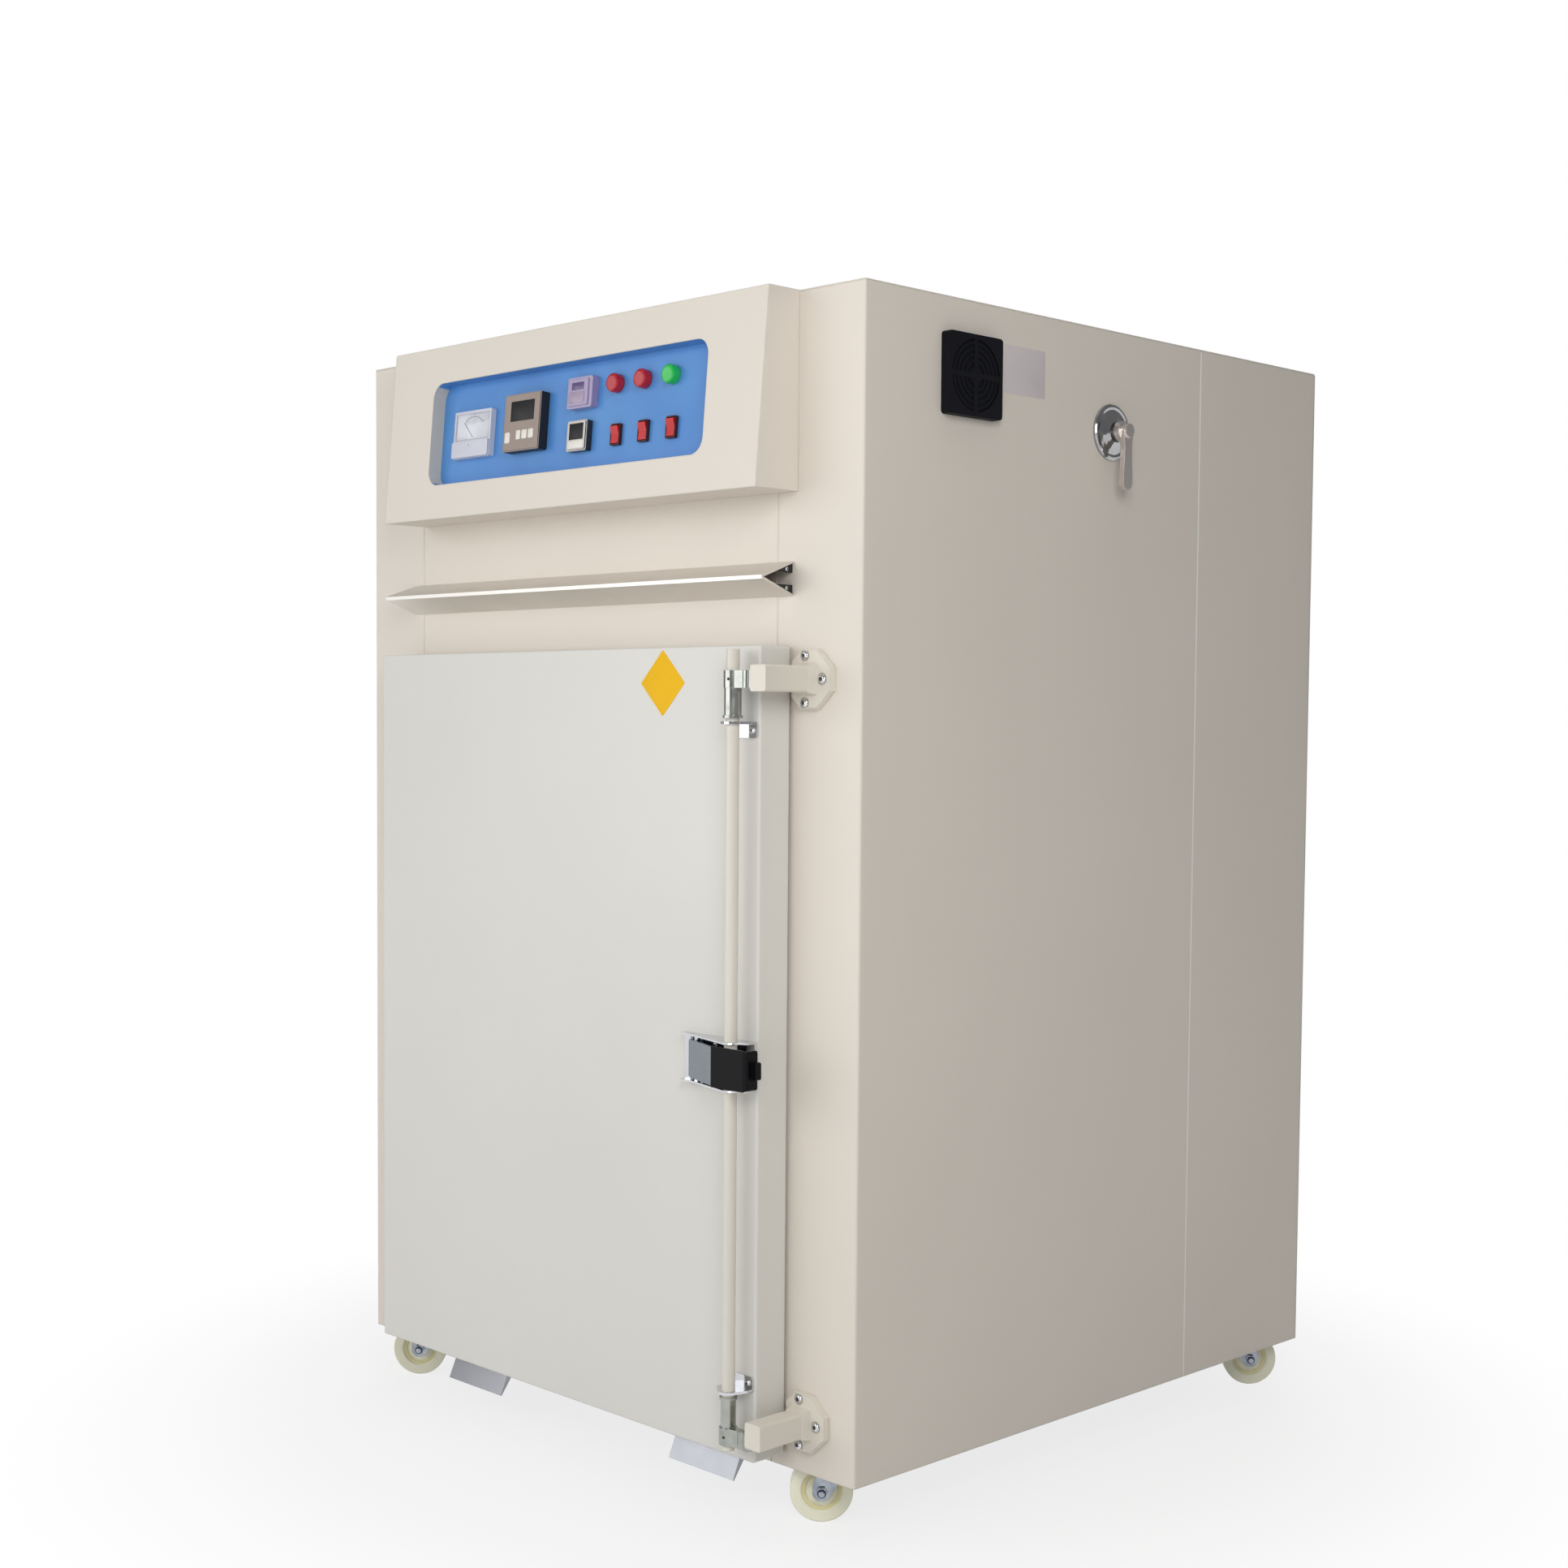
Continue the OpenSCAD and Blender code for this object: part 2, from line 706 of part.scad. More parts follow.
// A guide: a tongue with a round end that the rod passes through, and a screwed flange on the door
module rod_guides() placed() color(chrome)
    for (i = [0, 1])
        translate([rod_x, door_front_y, guide_heights[i]]) {
            flange_low = i == 0 ? 0 : guide_t - guide_flange;
            difference() {
                union() {
                    rounded_plate(-14, rod_in - 3, flange_low, flange_low + guide_flange, -base_t, base_t, 5);
                    linear_extrude(guide_t) guide_outline();
                }
                translate([0, -rod_out, -1]) cylinder(h = guide_t + 2, r = rod_d / 2 + 0.3);
            }
        }

module guide_outline() {
    translate([0, -rod_out]) circle(guide_r);
    translate([-guide_reach, -rod_out + 4]) circle(6);
    polygon([
        [-guide_reach - 6, 0], [-guide_reach - 6, -rod_out + 4], [-guide_reach, -rod_out - 2],
        [0, -rod_out - guide_r], [guide_r, -rod_out], [rod_in - 9, -8], [rod_in - 9, 0]
    ]);
}

// The lever's base: a plate on the door, and two ears that carry the lever's pin and guide the rod
module handle_base() placed() color(chrome)
    difference() {
        union() {
            rounded_plate(lever_pin_x - base_reach, door_r - 3, handle_z - ear_h / 2, handle_z + ear_h / 2,
                door_front_y - base_t, base_t, 2);
            for (low = [handle_z - ear_h / 2, handle_z + ear_h / 2 - base_t])
                translate([0, 0, low]) linear_extrude(base_t) ear_outline();
        }
        translate([rod_x, rod_y, 0]) cylinder(h = top_z, r = rod_d / 2 + 0.3);
        translate([lever_pin_x, lever_pin_y, 0]) cylinder(h = top_z, r = lever_pin_r + 0.05);
    }

module ear_outline() {
    translate([lever_pin_x - base_reach + 8, lever_pin_y + 2]) circle(8);
    translate([rod_x, rod_y]) circle(ear_r);
    polygon([
        [lever_pin_x - base_reach, door_front_y], [lever_pin_x - base_reach, lever_pin_y + 2],
        [lever_pin_x - base_reach + 8, lever_pin_y - 6], [lever_pin_x + 8, lever_pin_y - 6],
        [rod_x - 8, rod_y - ear_r + 2], [rod_x + ear_r, rod_y], [door_r - 3, door_front_y - 20],
        [door_r - 3, door_front_y]
    ]);
}

// The lever: its pin and barrel, then a strap that runs out from the door and bends along it
module handle_lever() placed() color(chrome)
    translate([0, 0, handle_z]) union() {
        cylinder_at(lever_pin_x, lever_pin_y, lever_pin_r, ear_h - 0.5);
        cylinder_at(lever_pin_x, lever_pin_y, 2 * lever_pin_r, lever_h - 4);
        translate([0, 0, -lever_h / 2]) linear_extrude(lever_h) polygon([
            [lever_pin_x, lever_pin_y - 2 * lever_pin_r], [lever_bend_x, lever_front],
            [lever_end_x, lever_front], [lever_end_x, lever_front + lever_return],
            [lever_end_x - lever_t, lever_front + lever_return],
            [lever_end_x - lever_t, lever_front + lever_t], [lever_bend_x + 1, lever_front + lever_t],
            [lever_pin_x + 2, lever_pin_y - lever_pin_r]
        ]);
    }

module cylinder_at(x, y, r, h) {
    translate([x, y, -h / 2]) cylinder(h = h, r = r);
}

// The black grip: a moulded cap over the strap's front and end, with round corners and a thumb tab
module handle_grip() placed() color(black)
    translate([0, 0, handle_z]) union() {
        intersection() {
            translate([0, 0, -lever_h]) linear_extrude(2 * lever_h) grip_outline();
            rounded_plate(lever_bend_x - 2 * grip_corner, lever_end_x + grip_t + 1, -grip_half, grip_half,
                lever_front - grip_t, lever_return + 2 * grip_t, grip_corner);
        }
        rounded_plate(lever_end_x + 1, lever_end_x + grip_tab, -13, 13, lever_front + 11, 10, 3);
    }

// The cap seen from above: it stands off the strap by its thickness and turns the end with a round
module grip_outline() {
    difference() {
        union() {
            polygon([
                [lever_bend_x, lever_front], [lever_bend_x + 4, lever_front - grip_t],
                [lever_end_x - grip_t, lever_front - grip_t], [lever_end_x + grip_t, lever_front + grip_t],
                [lever_end_x + grip_t, lever_front + lever_return + 2],
                [lever_end_x, lever_front + lever_return + 2], [lever_end_x, lever_front]
            ]);
            translate([lever_end_x - grip_t, lever_front + grip_t]) circle(2 * grip_t);
        }
        translate([lever_bend_x - 1, lever_front]) square([lever_end_x - lever_bend_x + 1, lever_out]);
    }
}

module lock_rod() placed() color(cream)
    translate([rod_x, rod_y, rod_low]) cylinder(h = rod_top - rod_low, r = rod_d / 2);

// Cam fingers with their collars, and the long sleeves between a cam and its guide
module lock_cams() placed() color(chrome)
    translate([rod_x, rod_y, 0]) difference() {
        union() {
            for (z = cam_heights)
                translate([0, 0, z - cam_h / 2]) linear_extrude(cam_h) cam_outline();
            for (sleeve = sleeves) {
                translate([0, 0, sleeve[0]]) cylinder(h = sleeve[1] - sleeve[0], r = sleeve[2]);
                translate([0, 0, sleeve[3]]) cylinder(h = sleeve_ring, r = sleeve[2] + 2);
            }
        }
        cylinder(h = top_z, r = rod_d / 2);
    }

// A cam from above: a collar, a neck, a lug and the finger's round tip
module cam_outline() {
    circle(cam_collar_r);
    polygon([[0, -10], [cam_reach - 12, -4], [cam_reach - 12, 4], [0, 10]]);
    translate([cam_reach - 19, 0]) circle(7);
    translate([cam_reach - 7, 0]) circle(7);
}

// The fixed upper half of each caster: a top plate with the upper ball race
module caster_plates() placed() color(steel)
    for (x = caster_xs)
        for (y = caster_ys)
            translate([x, y, 0]) {
                translate([0, 0, caster_h - plate_top_t]) linear_extrude(plate_top_t)
                    rounded_outline(-45, 45, -35, 35, 6);
                translate([0, 0, fork_top + 0.5])
                    cylinder(h = caster_h - fork_top - 1, r1 = race_r, r2 = race_r - 4);
            }

// Caster seen in its own frame: the swivel is the Z axis and the wheel trails along +X
module fork() {
    translate([0, 0, fork_top - 4]) cylinder(h = 4, r = race_r + 3);
    translate([0, 0, fork_top - 7]) cylinder(h = 4, r1 = race_r - 4, r2 = race_r + 1);
    for (side = [-1, 1]) {
        translate([0, side * (fork_gap - fork_leg_t / 2) + fork_leg_t / 2, 0]) rotate([90, 0, 0])
            linear_extrude(fork_leg_t) fork_leg();
        translate([trail, side * (fork_gap + nut_t / 2) + nut_t / 2, wheel_d / 2]) rotate([90, 0, 0])
            cylinder(h = nut_t, r = nut_r, $fn = 6);
    }
    translate([trail, axle_half, wheel_d / 2]) rotate([90, 0, 0]) cylinder(h = 2 * axle_half, r = axle_r);
}

// A leg of the fork: wide under the race, raked back and rounded about the axle
module fork_leg() {
    polygon([
        [-24, fork_top], [race_r, fork_top],
        [trail + leg_r, wheel_d / 2 + 8], [trail + leg_r, wheel_d / 2 - 2],
        [trail - 12, wheel_d / 2 - 8]
    ]);
    translate([trail, wheel_d / 2]) circle(leg_r);
}

// A turned wheel: a flat tread, a step down inside the rim and a raised hub, alike on both sides
module wheel() {
    side = [
        [axle_r + 0.05, hub_half], [hub_r - 1.5, hub_half], [hub_r, hub_half - 1.5], [hub_r, web_half],
        [24, web_half], [25.5, web_half + 3], [30, web_half + 3.5], [31, web_half + 6], [33, wheel_w / 2],
        [wheel_d / 2, wheel_w / 2]
    ];
    other_side = [for (i = [len(side) - 1:-1:0]) [side[i][0], -side[i][1]]];
    translate([trail, 0, wheel_d / 2]) rotate([90, 0, 0]) rotate_extrude() polygon(concat(side, other_side));
}

// The stored swivel angle of each caster turns its wheel to face the viewer's side
module at_caster(x, y, turn) {
    translate([x, y, 0]) rotate([0, 0, turn]) children();
}

module fork_front_left() placed() color(steel) at_caster(caster_xs[0], caster_ys[0], 225) fork();
module fork_front_right() placed() color(steel) at_caster(caster_xs[1], caster_ys[0], 225) fork();
module fork_rear_left() placed() color(steel) at_caster(caster_xs[0], caster_ys[1], 45) fork();
module fork_rear_right() placed() color(steel) at_caster(caster_xs[1], caster_ys[1], 45) fork();
module wheel_front_left() placed() color(nylon) at_caster(caster_xs[0], caster_ys[0], 225) wheel();
module wheel_front_right() placed() color(nylon) at_caster(caster_xs[1], caster_ys[0], 225) wheel();
module wheel_rear_left() placed() color(nylon) at_caster(caster_xs[0], caster_ys[1], 45) wheel();
module wheel_rear_right() placed() color(nylon) at_caster(caster_xs[1], caster_ys[1], 45) wheel();

left_side_panel();
left_rear_panel();
right_side_panel();
right_rear_panel();
back_panel();
top_panel();
base_pan();
left_stile();
right_stile();
front_fascia();
front_sill();
doorway_border();
chamber_sides();
chamber_back();
chamber_ceiling();
chamber_floor_pan();
control_hood();
control_panel();
ammeter();
temperature_controller();
timer();
limit_controller();
red_lamps();
green_lamp();
switch_frames();
rocker_1();
rocker_2();
rocker_3();
heat_deflector();
deflector_brackets();
keepers();
fan_grille();
damper_escutcheon();
damper_lever();
bottom_lips();
hinge_frame_leaves();
hinge_door_leaves();
door_panel();
door_inner_panel();
door_gasket();
rod_guides();
handle_base();
handle_lever();
handle_grip();
lock_rod();
lock_cams();
caster_plates();
fork_front_left();
fork_front_right();
fork_rear_left();
fork_rear_right();
wheel_front_left();
wheel_front_right();
wheel_rear_left();
wheel_rear_right();
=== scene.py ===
import math
import random
import bmesh
import bpy
from mathutils import Matrix, Vector


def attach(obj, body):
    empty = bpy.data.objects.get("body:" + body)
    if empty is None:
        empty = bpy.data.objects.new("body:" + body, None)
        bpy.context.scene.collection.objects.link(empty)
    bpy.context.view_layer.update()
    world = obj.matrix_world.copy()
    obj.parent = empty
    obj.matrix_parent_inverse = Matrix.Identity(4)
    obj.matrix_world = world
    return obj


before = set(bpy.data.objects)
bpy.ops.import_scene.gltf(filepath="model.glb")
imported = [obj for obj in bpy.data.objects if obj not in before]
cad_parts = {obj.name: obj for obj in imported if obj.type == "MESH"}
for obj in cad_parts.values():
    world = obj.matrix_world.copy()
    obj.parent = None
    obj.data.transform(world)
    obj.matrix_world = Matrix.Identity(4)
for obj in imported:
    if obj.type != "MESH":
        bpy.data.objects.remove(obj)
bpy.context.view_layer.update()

random.seed(7)

# Places are in millimetres from the middle of the cabinet's footprint, heights from the floor.
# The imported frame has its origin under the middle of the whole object.
MIDDLE_X = 20.0
MIDDLE_Y = -57.0
CABINET_FRONT = -586.0
CABINET_RIGHT = 618.0
CABINET_TOP = 1846.0
DOOR_FRONT = -652.0
HOOD_TOP_DEPTH = 63.0
HOOD_LOW_DEPTH = 88.0
HOOD_HEIGHT = 294.0
HOOD_LEAN = math.atan((HOOD_LOW_DEPTH - HOOD_TOP_DEPTH) / HOOD_HEIGHT)
PANEL_RECESS = 25.0
ROD = (445.0, -678.0)
HANDLE_HEIGHT = 702.0
AWNING_END = 474.0
AWNING_HEIGHT = 1424.0
CAM_HEIGHTS = (148.0, 1274.0)
CAM_COLLAR = 0.014
SIDE_SEAM = 235.0
GUARD_MIDDLE = (-361.0, 1732.0)
FOAM_OUT = 13.6
FRONT_SEAMS = (-465.0, 443.0)
FRONT_SEAM_LOW = 1292.0
CASTERS = {
    "front_left": (-525, -511, 225), "front_right": (525, -511, 225),
    "rear_left": (-525, 511, 45), "rear_right": (525, 511, 45),
}
CASTER_TRAIL = 0.034
AXLE_HEIGHT = 48.0
NUT_FACE = 0.029
LEDGE_RING = [(25.6, 11.0), (30.1, 11.4), (32.6, 14.6), (33.0, 14.7), (30.4, 11.8), (25.6, 11.3)]
FRONT = Vector((0, -1, 0))
RIGHT = Vector((1, 0, 0))
HOOD_OUT = Vector((0, -math.cos(HOOD_LEAN), math.sin(HOOD_LEAN)))


def placed(x, y, z):
    return Vector(((x - MIDDLE_X) / 1000, (y - MIDDLE_Y) / 1000, z / 1000))


def srgb(r, g, b):
    def one(v):
        v = v / 255
        return v / 12.92 if v <= 0.04045 else ((v + 0.055) / 1.055) ** 2.4
    return (one(r), one(g), one(b), 1.0)


# Shared surface effects, each a node group with named sockets
def effect(name, inputs, outputs):
    tree = bpy.data.node_groups.new(name, "ShaderNodeTree")
    for label, kind, value in inputs:
        socket = tree.interface.new_socket(name=label, in_out="INPUT", socket_type=kind)
        socket.default_value = value
    for label, kind in outputs:
        tree.interface.new_socket(name=label, in_out="OUTPUT", socket_type=kind)
    start = tree.nodes.new("NodeGroupInput")
    end = tree.nodes.new("NodeGroupOutput")
    return tree, start, end


def noise_in(tree, scale, detail=3.0, rough=0.5, stretch=None):
    coords = tree.nodes.new("ShaderNodeTexCoord")
    noise = tree.nodes.new("ShaderNodeTexNoise")
    noise.inputs["Scale"].default_value = scale
    noise.inputs["Detail"].default_value = detail
    noise.inputs["Roughness"].default_value = rough
    if stretch:
        mapping = tree.nodes.new("ShaderNodeMapping")
        mapping.inputs["Scale"].default_value = stretch
        tree.links.new(coords.outputs["Object"], mapping.inputs["Vector"])
        tree.links.new(mapping.outputs["Vector"], noise.inputs["Vector"])
    else:
        tree.links.new(coords.outputs["Object"], noise.inputs["Vector"])
    return noise


def make_uneven_colour():
    tree, start, end = effect(
        "uneven_colour",
        [("Colour", "NodeSocketColor", (0.8, 0.8, 0.8, 1)), ("Second colour", "NodeSocketColor", (0.7, 0.7, 0.7, 1)),
         ("Amount", "NodeSocketFloat", 0.5), ("Scale", "NodeSocketFloat", 3.0)],
        [("Colour", "NodeSocketColor"), ("Mask", "NodeSocketFloat")])
    noise = noise_in(tree, 3.0, 4.0, 0.55)
    tree.links.new(start.outputs["Scale"], noise.inputs["Scale"])
    spread = tree.nodes.new("ShaderNodeMapRange")
    spread.inputs["From Min"].default_value = 0.32
    spread.inputs["From Max"].default_value = 0.68
    amount = tree.nodes.new("ShaderNodeMath")
    amount.operation = "MULTIPLY"
    mix = tree.nodes.new("ShaderNodeMix")
    mix.data_type = "RGBA"
    tree.links.new(noise.outputs["Fac"], spread.inputs["Value"])
    tree.links.new(spread.outputs["Result"], amount.inputs[0])
    tree.links.new(start.outputs["Amount"], amount.inputs[1])
    tree.links.new(amount.outputs[0], mix.inputs["Factor"])
    tree.links.new(start.outputs["Colour"], mix.inputs["A"])
    tree.links.new(start.outputs["Second colour"], mix.inputs["B"])
    tree.links.new(mix.outputs["Result"], end.inputs["Colour"])
    tree.links.new(spread.outputs["Result"], end.inputs["Mask"])
    return tree


def make_rounded_edges():
    tree, start, end = effect(
        "rounded_edges",
        [("Radius", "NodeSocketFloat", 0.001)],
        [("Normal", "NodeSocketVector"), ("Edge", "NodeSocketFloat")])
    bevel = tree.nodes.new("ShaderNodeBevel")
    bevel.samples = 4
    flat = tree.nodes.new("ShaderNodeNewGeometry")
    dot = tree.nodes.new("ShaderNodeVectorMath")
    dot.operation = "DOT_PRODUCT"
    spread = tree.nodes.new("ShaderNodeMapRange")
    spread.inputs["From Min"].default_value = 0.995
    spread.inputs["From Max"].default_value = 0.90
    tree.links.new(start.outputs["Radius"], bevel.inputs["Radius"])
    tree.links.new(bevel.outputs["Normal"], dot.inputs[0])
    tree.links.new(flat.outputs["Normal"], dot.inputs[1])
    tree.links.new(dot.outputs["Value"], spread.inputs["Value"])
    tree.links.new(bevel.outputs["Normal"], end.inputs["Normal"])
    tree.links.new(spread.outputs["Result"], end.inputs["Edge"])
    return tree


def make_paint_ripple():
    tree, start, end = effect(
        "paint_ripple",
        [("Scale", "NodeSocketFloat", 400.0), ("Dents", "NodeSocketFloat", 1.0)],
        [("Height", "NodeSocketFloat")])
    fine = noise_in(tree, 400.0, 2.0, 0.5)
    broad = noise_in(tree, 2.2, 1.0, 0.4)
    tree.links.new(start.outputs["Scale"], fine.inputs["Scale"])
    dents = tree.nodes.new("ShaderNodeMath")
    dents.operation = "MULTIPLY"
    total = tree.nodes.new("ShaderNodeMath")
    total.operation = "ADD"
    tree.links.new(broad.outputs["Fac"], dents.inputs[0])
    tree.links.new(start.outputs["Dents"], dents.inputs[1])
    tree.links.new(fine.outputs["Fac"], total.inputs[0])
    tree.links.new(dents.outputs[0], total.inputs[1])
    tree.links.new(total.outputs[0], end.inputs["Height"])
    return tree


def make_brushed_grain(name, stretch):
    tree, start, end = effect(
        name,
        [("Smooth", "NodeSocketFloat", 0.25), ("Rough", "NodeSocketFloat", 0.42)],
        [("Roughness", "NodeSocketFloat"), ("Height", "NodeSocketFloat")])
    noise = noise_in(tree, 1.0, 4.0, 0.6, stretch)
    spread = tree.nodes.new("ShaderNodeMapRange")
    spread.inputs["From Min"].default_value = 0.3
    spread.inputs["From Max"].default_value = 0.7
    tree.links.new(start.outputs["Smooth"], spread.inputs["To Min"])
    tree.links.new(start.outputs["Rough"], spread.inputs["To Max"])
    tree.links.new(noise.outputs["Fac"], spread.inputs["Value"])
    tree.links.new(spread.outputs["Result"], end.inputs["Roughness"])
    tree.links.new(noise.outputs["Fac"], end.inputs["Height"])
    return tree


def make_front_mask():
    tree, start, end = effect(
        "front_mask",
        [("Direction", "NodeSocketVector", (0.0, -1.0, 0.0)), ("Limit", "NodeSocketFloat", 0.9)],
        [("Mask", "NodeSocketFloat")])
    coords = tree.nodes.new("ShaderNodeTexCoord")
    dot = tree.nodes.new("ShaderNodeVectorMath")
    dot.operation = "DOT_PRODUCT"
    step = tree.nodes.new("ShaderNodeMath")
    step.operation = "GREATER_THAN"
    tree.links.new(coords.outputs["Normal"], dot.inputs[0])
    tree.links.new(start.outputs["Direction"], dot.inputs[1])
    tree.links.new(dot.outputs["Value"], step.inputs[0])
    tree.links.new(start.outputs["Limit"], step.inputs[1])
    tree.links.new(step.outputs[0], end.inputs["Mask"])
    return tree


UNEVEN_COLOUR = make_uneven_colour()
FRONT_MASK = make_front_mask()
ROUNDED_EDGES = make_rounded_edges()
PAINT_RIPPLE = make_paint_ripple()
GRAIN_ALONG = make_brushed_grain("brushed_grain_along", (6.0, 900.0, 900.0))
GRAIN_UP = make_brushed_grain("brushed_grain_up", (900.0, 900.0, 6.0))


def finish_base(name, metallic=0.0, roughness=0.4, coat=0.0, coat_roughness=0.1, ior=1.5, specular=0.5):
    material = bpy.data.materials.new(name)
    material.use_nodes = True
    shader = material.node_tree.nodes["Principled BSDF"]
    shader.inputs["Metallic"].default_value = metallic
    shader.inputs["Roughness"].default_value = roughness
    shader.inputs["Coat Weight"].default_value = coat
    shader.inputs["Coat Roughness"].default_value = coat_roughness
    shader.inputs["IOR"].default_value = ior
    shader.inputs["Specular IOR Level"].default_value = specular
    return material, material.node_tree, shader


def add_effect(tree, group, **values):
    node = tree.nodes.new("ShaderNodeGroup")
    node.node_tree = group
    for label, value in values.items():
        node.inputs[label.replace("_", " ")].default_value = value
    return node


def add_bump(tree, height, normal, strength, distance):
    bump = tree.nodes.new("ShaderNodeBump")
    bump.inputs["Strength"].default_value = strength
    bump.inputs["Distance"].default_value = distance
    tree.links.new(height, bump.inputs["Height"])
    if normal is not None:
        tree.links.new(normal, bump.inputs["Normal"])
    return bump


def two_tone(tree, main, other, direction, limit):
    """The other colour on the faces that look in a direction, the main one elsewhere."""
    facing_it = add_effect(tree, FRONT_MASK, Direction=tuple(direction), Limit=limit)
    mix = tree.nodes.new("ShaderNodeMix")
    mix.data_type = "RGBA"
    for label, colour in (("A", main), ("B", other)):
        if isinstance(colour, tuple):
            mix.inputs[label].default_value = colour
        else:
            tree.links.new(colour, mix.inputs[label])
    tree.links.new(facing_it.outputs["Mask"], mix.inputs["Factor"])
    return mix


def painted(name, colour, second, roughness, radius=0.0015, ripple=0.0001, edge_highlight=0.25, coat=0.15, scale=1.6,
            shaded_left_wall=None):
    material, tree, shader = finish_base(name, 0.0, roughness, coat, 0.2, specular=0.4)
    tint = add_effect(tree, UNEVEN_COLOUR, Colour=colour, Second_colour=second, Amount=0.7, Scale=scale)
    edges = add_effect(tree, ROUNDED_EDGES, Radius=radius)
    # Painted highlight: the paint is made lighter towards its rounded edges, by the given share.
    edge_lit = tree.nodes.new("ShaderNodeMix")
    edge_lit.data_type = "RGBA"
    highlight_share = tree.nodes.new("ShaderNodeMath")
    highlight_share.operation = "MULTIPLY"
    highlight_share.inputs[1].default_value = edge_highlight
    tree.links.new(edges.outputs["Edge"], highlight_share.inputs[0])
    tree.links.new(highlight_share.outputs[0], edge_lit.inputs["Factor"])
    tree.links.new(tint.outputs["Colour"], edge_lit.inputs["A"])
    edge_lit.inputs["B"].default_value = tuple(min(1.0, c * 1.25) for c in colour[:3]) + (1.0,)
    shown = edge_lit
    # Painted shade: faces looking right get the given darker colour in place of the panel's own.
    if shaded_left_wall:
        shown = two_tone(tree, edge_lit.outputs["Result"], shaded_left_wall, RIGHT, 0.6)
    tree.links.new(shown.outputs["Result"], shader.inputs["Base Color"])
    rippled = add_effect(tree, PAINT_RIPPLE, Scale=420.0, Dents=1.2)
    bump = add_bump(tree, rippled.outputs["Height"], edges.outputs["Normal"], 0.5, ripple)
    tree.links.new(bump.outputs["Normal"], shader.inputs["Normal"])
    return material


def bare_metal(name, colour, second, grain=None, smooth=0.18, rough=0.36, radius=0.0006, bump=0.00003, scale=6.0,
               amount=0.8):
    material, tree, shader = finish_base(name, 1.0, (smooth + rough) / 2)
    tint = add_effect(tree, UNEVEN_COLOUR, Colour=colour, Second_colour=second, Amount=amount, Scale=scale)
    edges = add_effect(tree, ROUNDED_EDGES, Radius=radius)
    tree.links.new(tint.outputs["Colour"], shader.inputs["Base Color"])
    if grain:
        lines = add_effect(tree, grain, Smooth=smooth, Rough=rough)
        tree.links.new(lines.outputs["Roughness"], shader.inputs["Roughness"])
        raised = add_bump(tree, lines.outputs["Height"], edges.outputs["Normal"], 0.4, bump)
        tree.links.new(raised.outputs["Normal"], shader.inputs["Normal"])
    else:
        spread = tree.nodes.new("ShaderNodeMapRange")
        spread.inputs["To Min"].default_value = smooth
        spread.inputs["To Max"].default_value = rough
        tree.links.new(tint.outputs["Mask"], spread.inputs["Value"])
        tree.links.new(spread.outputs["Result"], shader.inputs["Roughness"])
        tree.links.new(edges.outputs["Normal"], shader.inputs["Normal"])
    return material


def moulded(name, colour, second, roughness, radius=0.0008, grain=0.00004, coat=0.0, grain_scale=900.0,
            sides=None, specular=0.5):
    material, tree, shader = finish_base(name, 0.0, roughness, coat, 0.08, specular=specular)
    tint = add_effect(tree, UNEVEN_COLOUR, Colour=colour, Second_colour=second, Amount=0.6, Scale=14.0)
    edges = add_effect(tree, ROUNDED_EDGES, Radius=radius)
    if sides:
        mix = two_tone(tree, sides, tint.outputs["Colour"], HOOD_OUT, 0.9)
        tree.links.new(mix.outputs["Result"], shader.inputs["Base Color"])
    else:
        tree.links.new(tint.outputs["Colour"], shader.inputs["Base Color"])
    spread = tree.nodes.new("ShaderNodeMapRange")
    spread.inputs["To Min"].default_value = roughness - 0.05
    spread.inputs["To Max"].default_value = roughness + 0.07
    tree.links.new(tint.outputs["Mask"], spread.inputs["Value"])
    tree.links.new(spread.outputs["Result"], shader.inputs["Roughness"])
    fine = add_effect(tree, PAINT_RIPPLE, Scale=grain_scale, Dents=0.0)
    raised = add_bump(tree, fine.outputs["Height"], edges.outputs["Normal"], 0.5, grain)
    tree.links.new(raised.outputs["Normal"], shader.inputs["Normal"])
    return material


def clear_plastic(name, colour):
    material, tree, shader = finish_base(name, 0.0, 0.06, ior=1.46)
    shader.inputs["Transmission Weight"].default_value = 1.0
    tint = add_effect(tree, UNEVEN_COLOUR, Colour=colour, Second_colour=tuple(0.96 * c for c in colour[:3]) + (1,),
                      Amount=0.5, Scale=30.0)
    tree.links.new(tint.outputs["Colour"], shader.inputs["Base Color"])
    edges = add_effect(tree, ROUNDED_EDGES, Radius=0.0006)
    tree.links.new(edges.outputs["Normal"], shader.inputs["Normal"])
    return material


CREAM = painted("cream_powder_coat", srgb(230, 222, 211), srgb(225, 217, 206), 0.46, radius=0.003, coat=0.05)
TOP_CREAM = painted("dull_top_coat", srgb(230, 222, 211), srgb(225, 217, 206), 0.8, radius=0.003, coat=0.0)
TOP_CREAM.node_tree.nodes["Principled BSDF"].inputs["Specular IOR Level"].default_value = 0.15
DOOR_CREAM = painted("door_powder_coat", srgb(224, 222, 216), srgb(219, 217, 211), 0.38, radius=0.003)
KEEPER_PAINT = painted("keeper_enamel", srgb(228, 222, 210), srgb(222, 215, 202), 0.3, radius=0.002, coat=0.3)
ROD_PAINT = painted("rod_enamel", srgb(226, 221, 210), srgb(219, 213, 201), 0.33, radius=0.0008, edge_highlight=0.1)
STAINLESS_ALONG = bare_metal("stainless_sheet", srgb(233, 230, 225), srgb(225, 222, 217), GRAIN_ALONG, 0.4, 0.52)
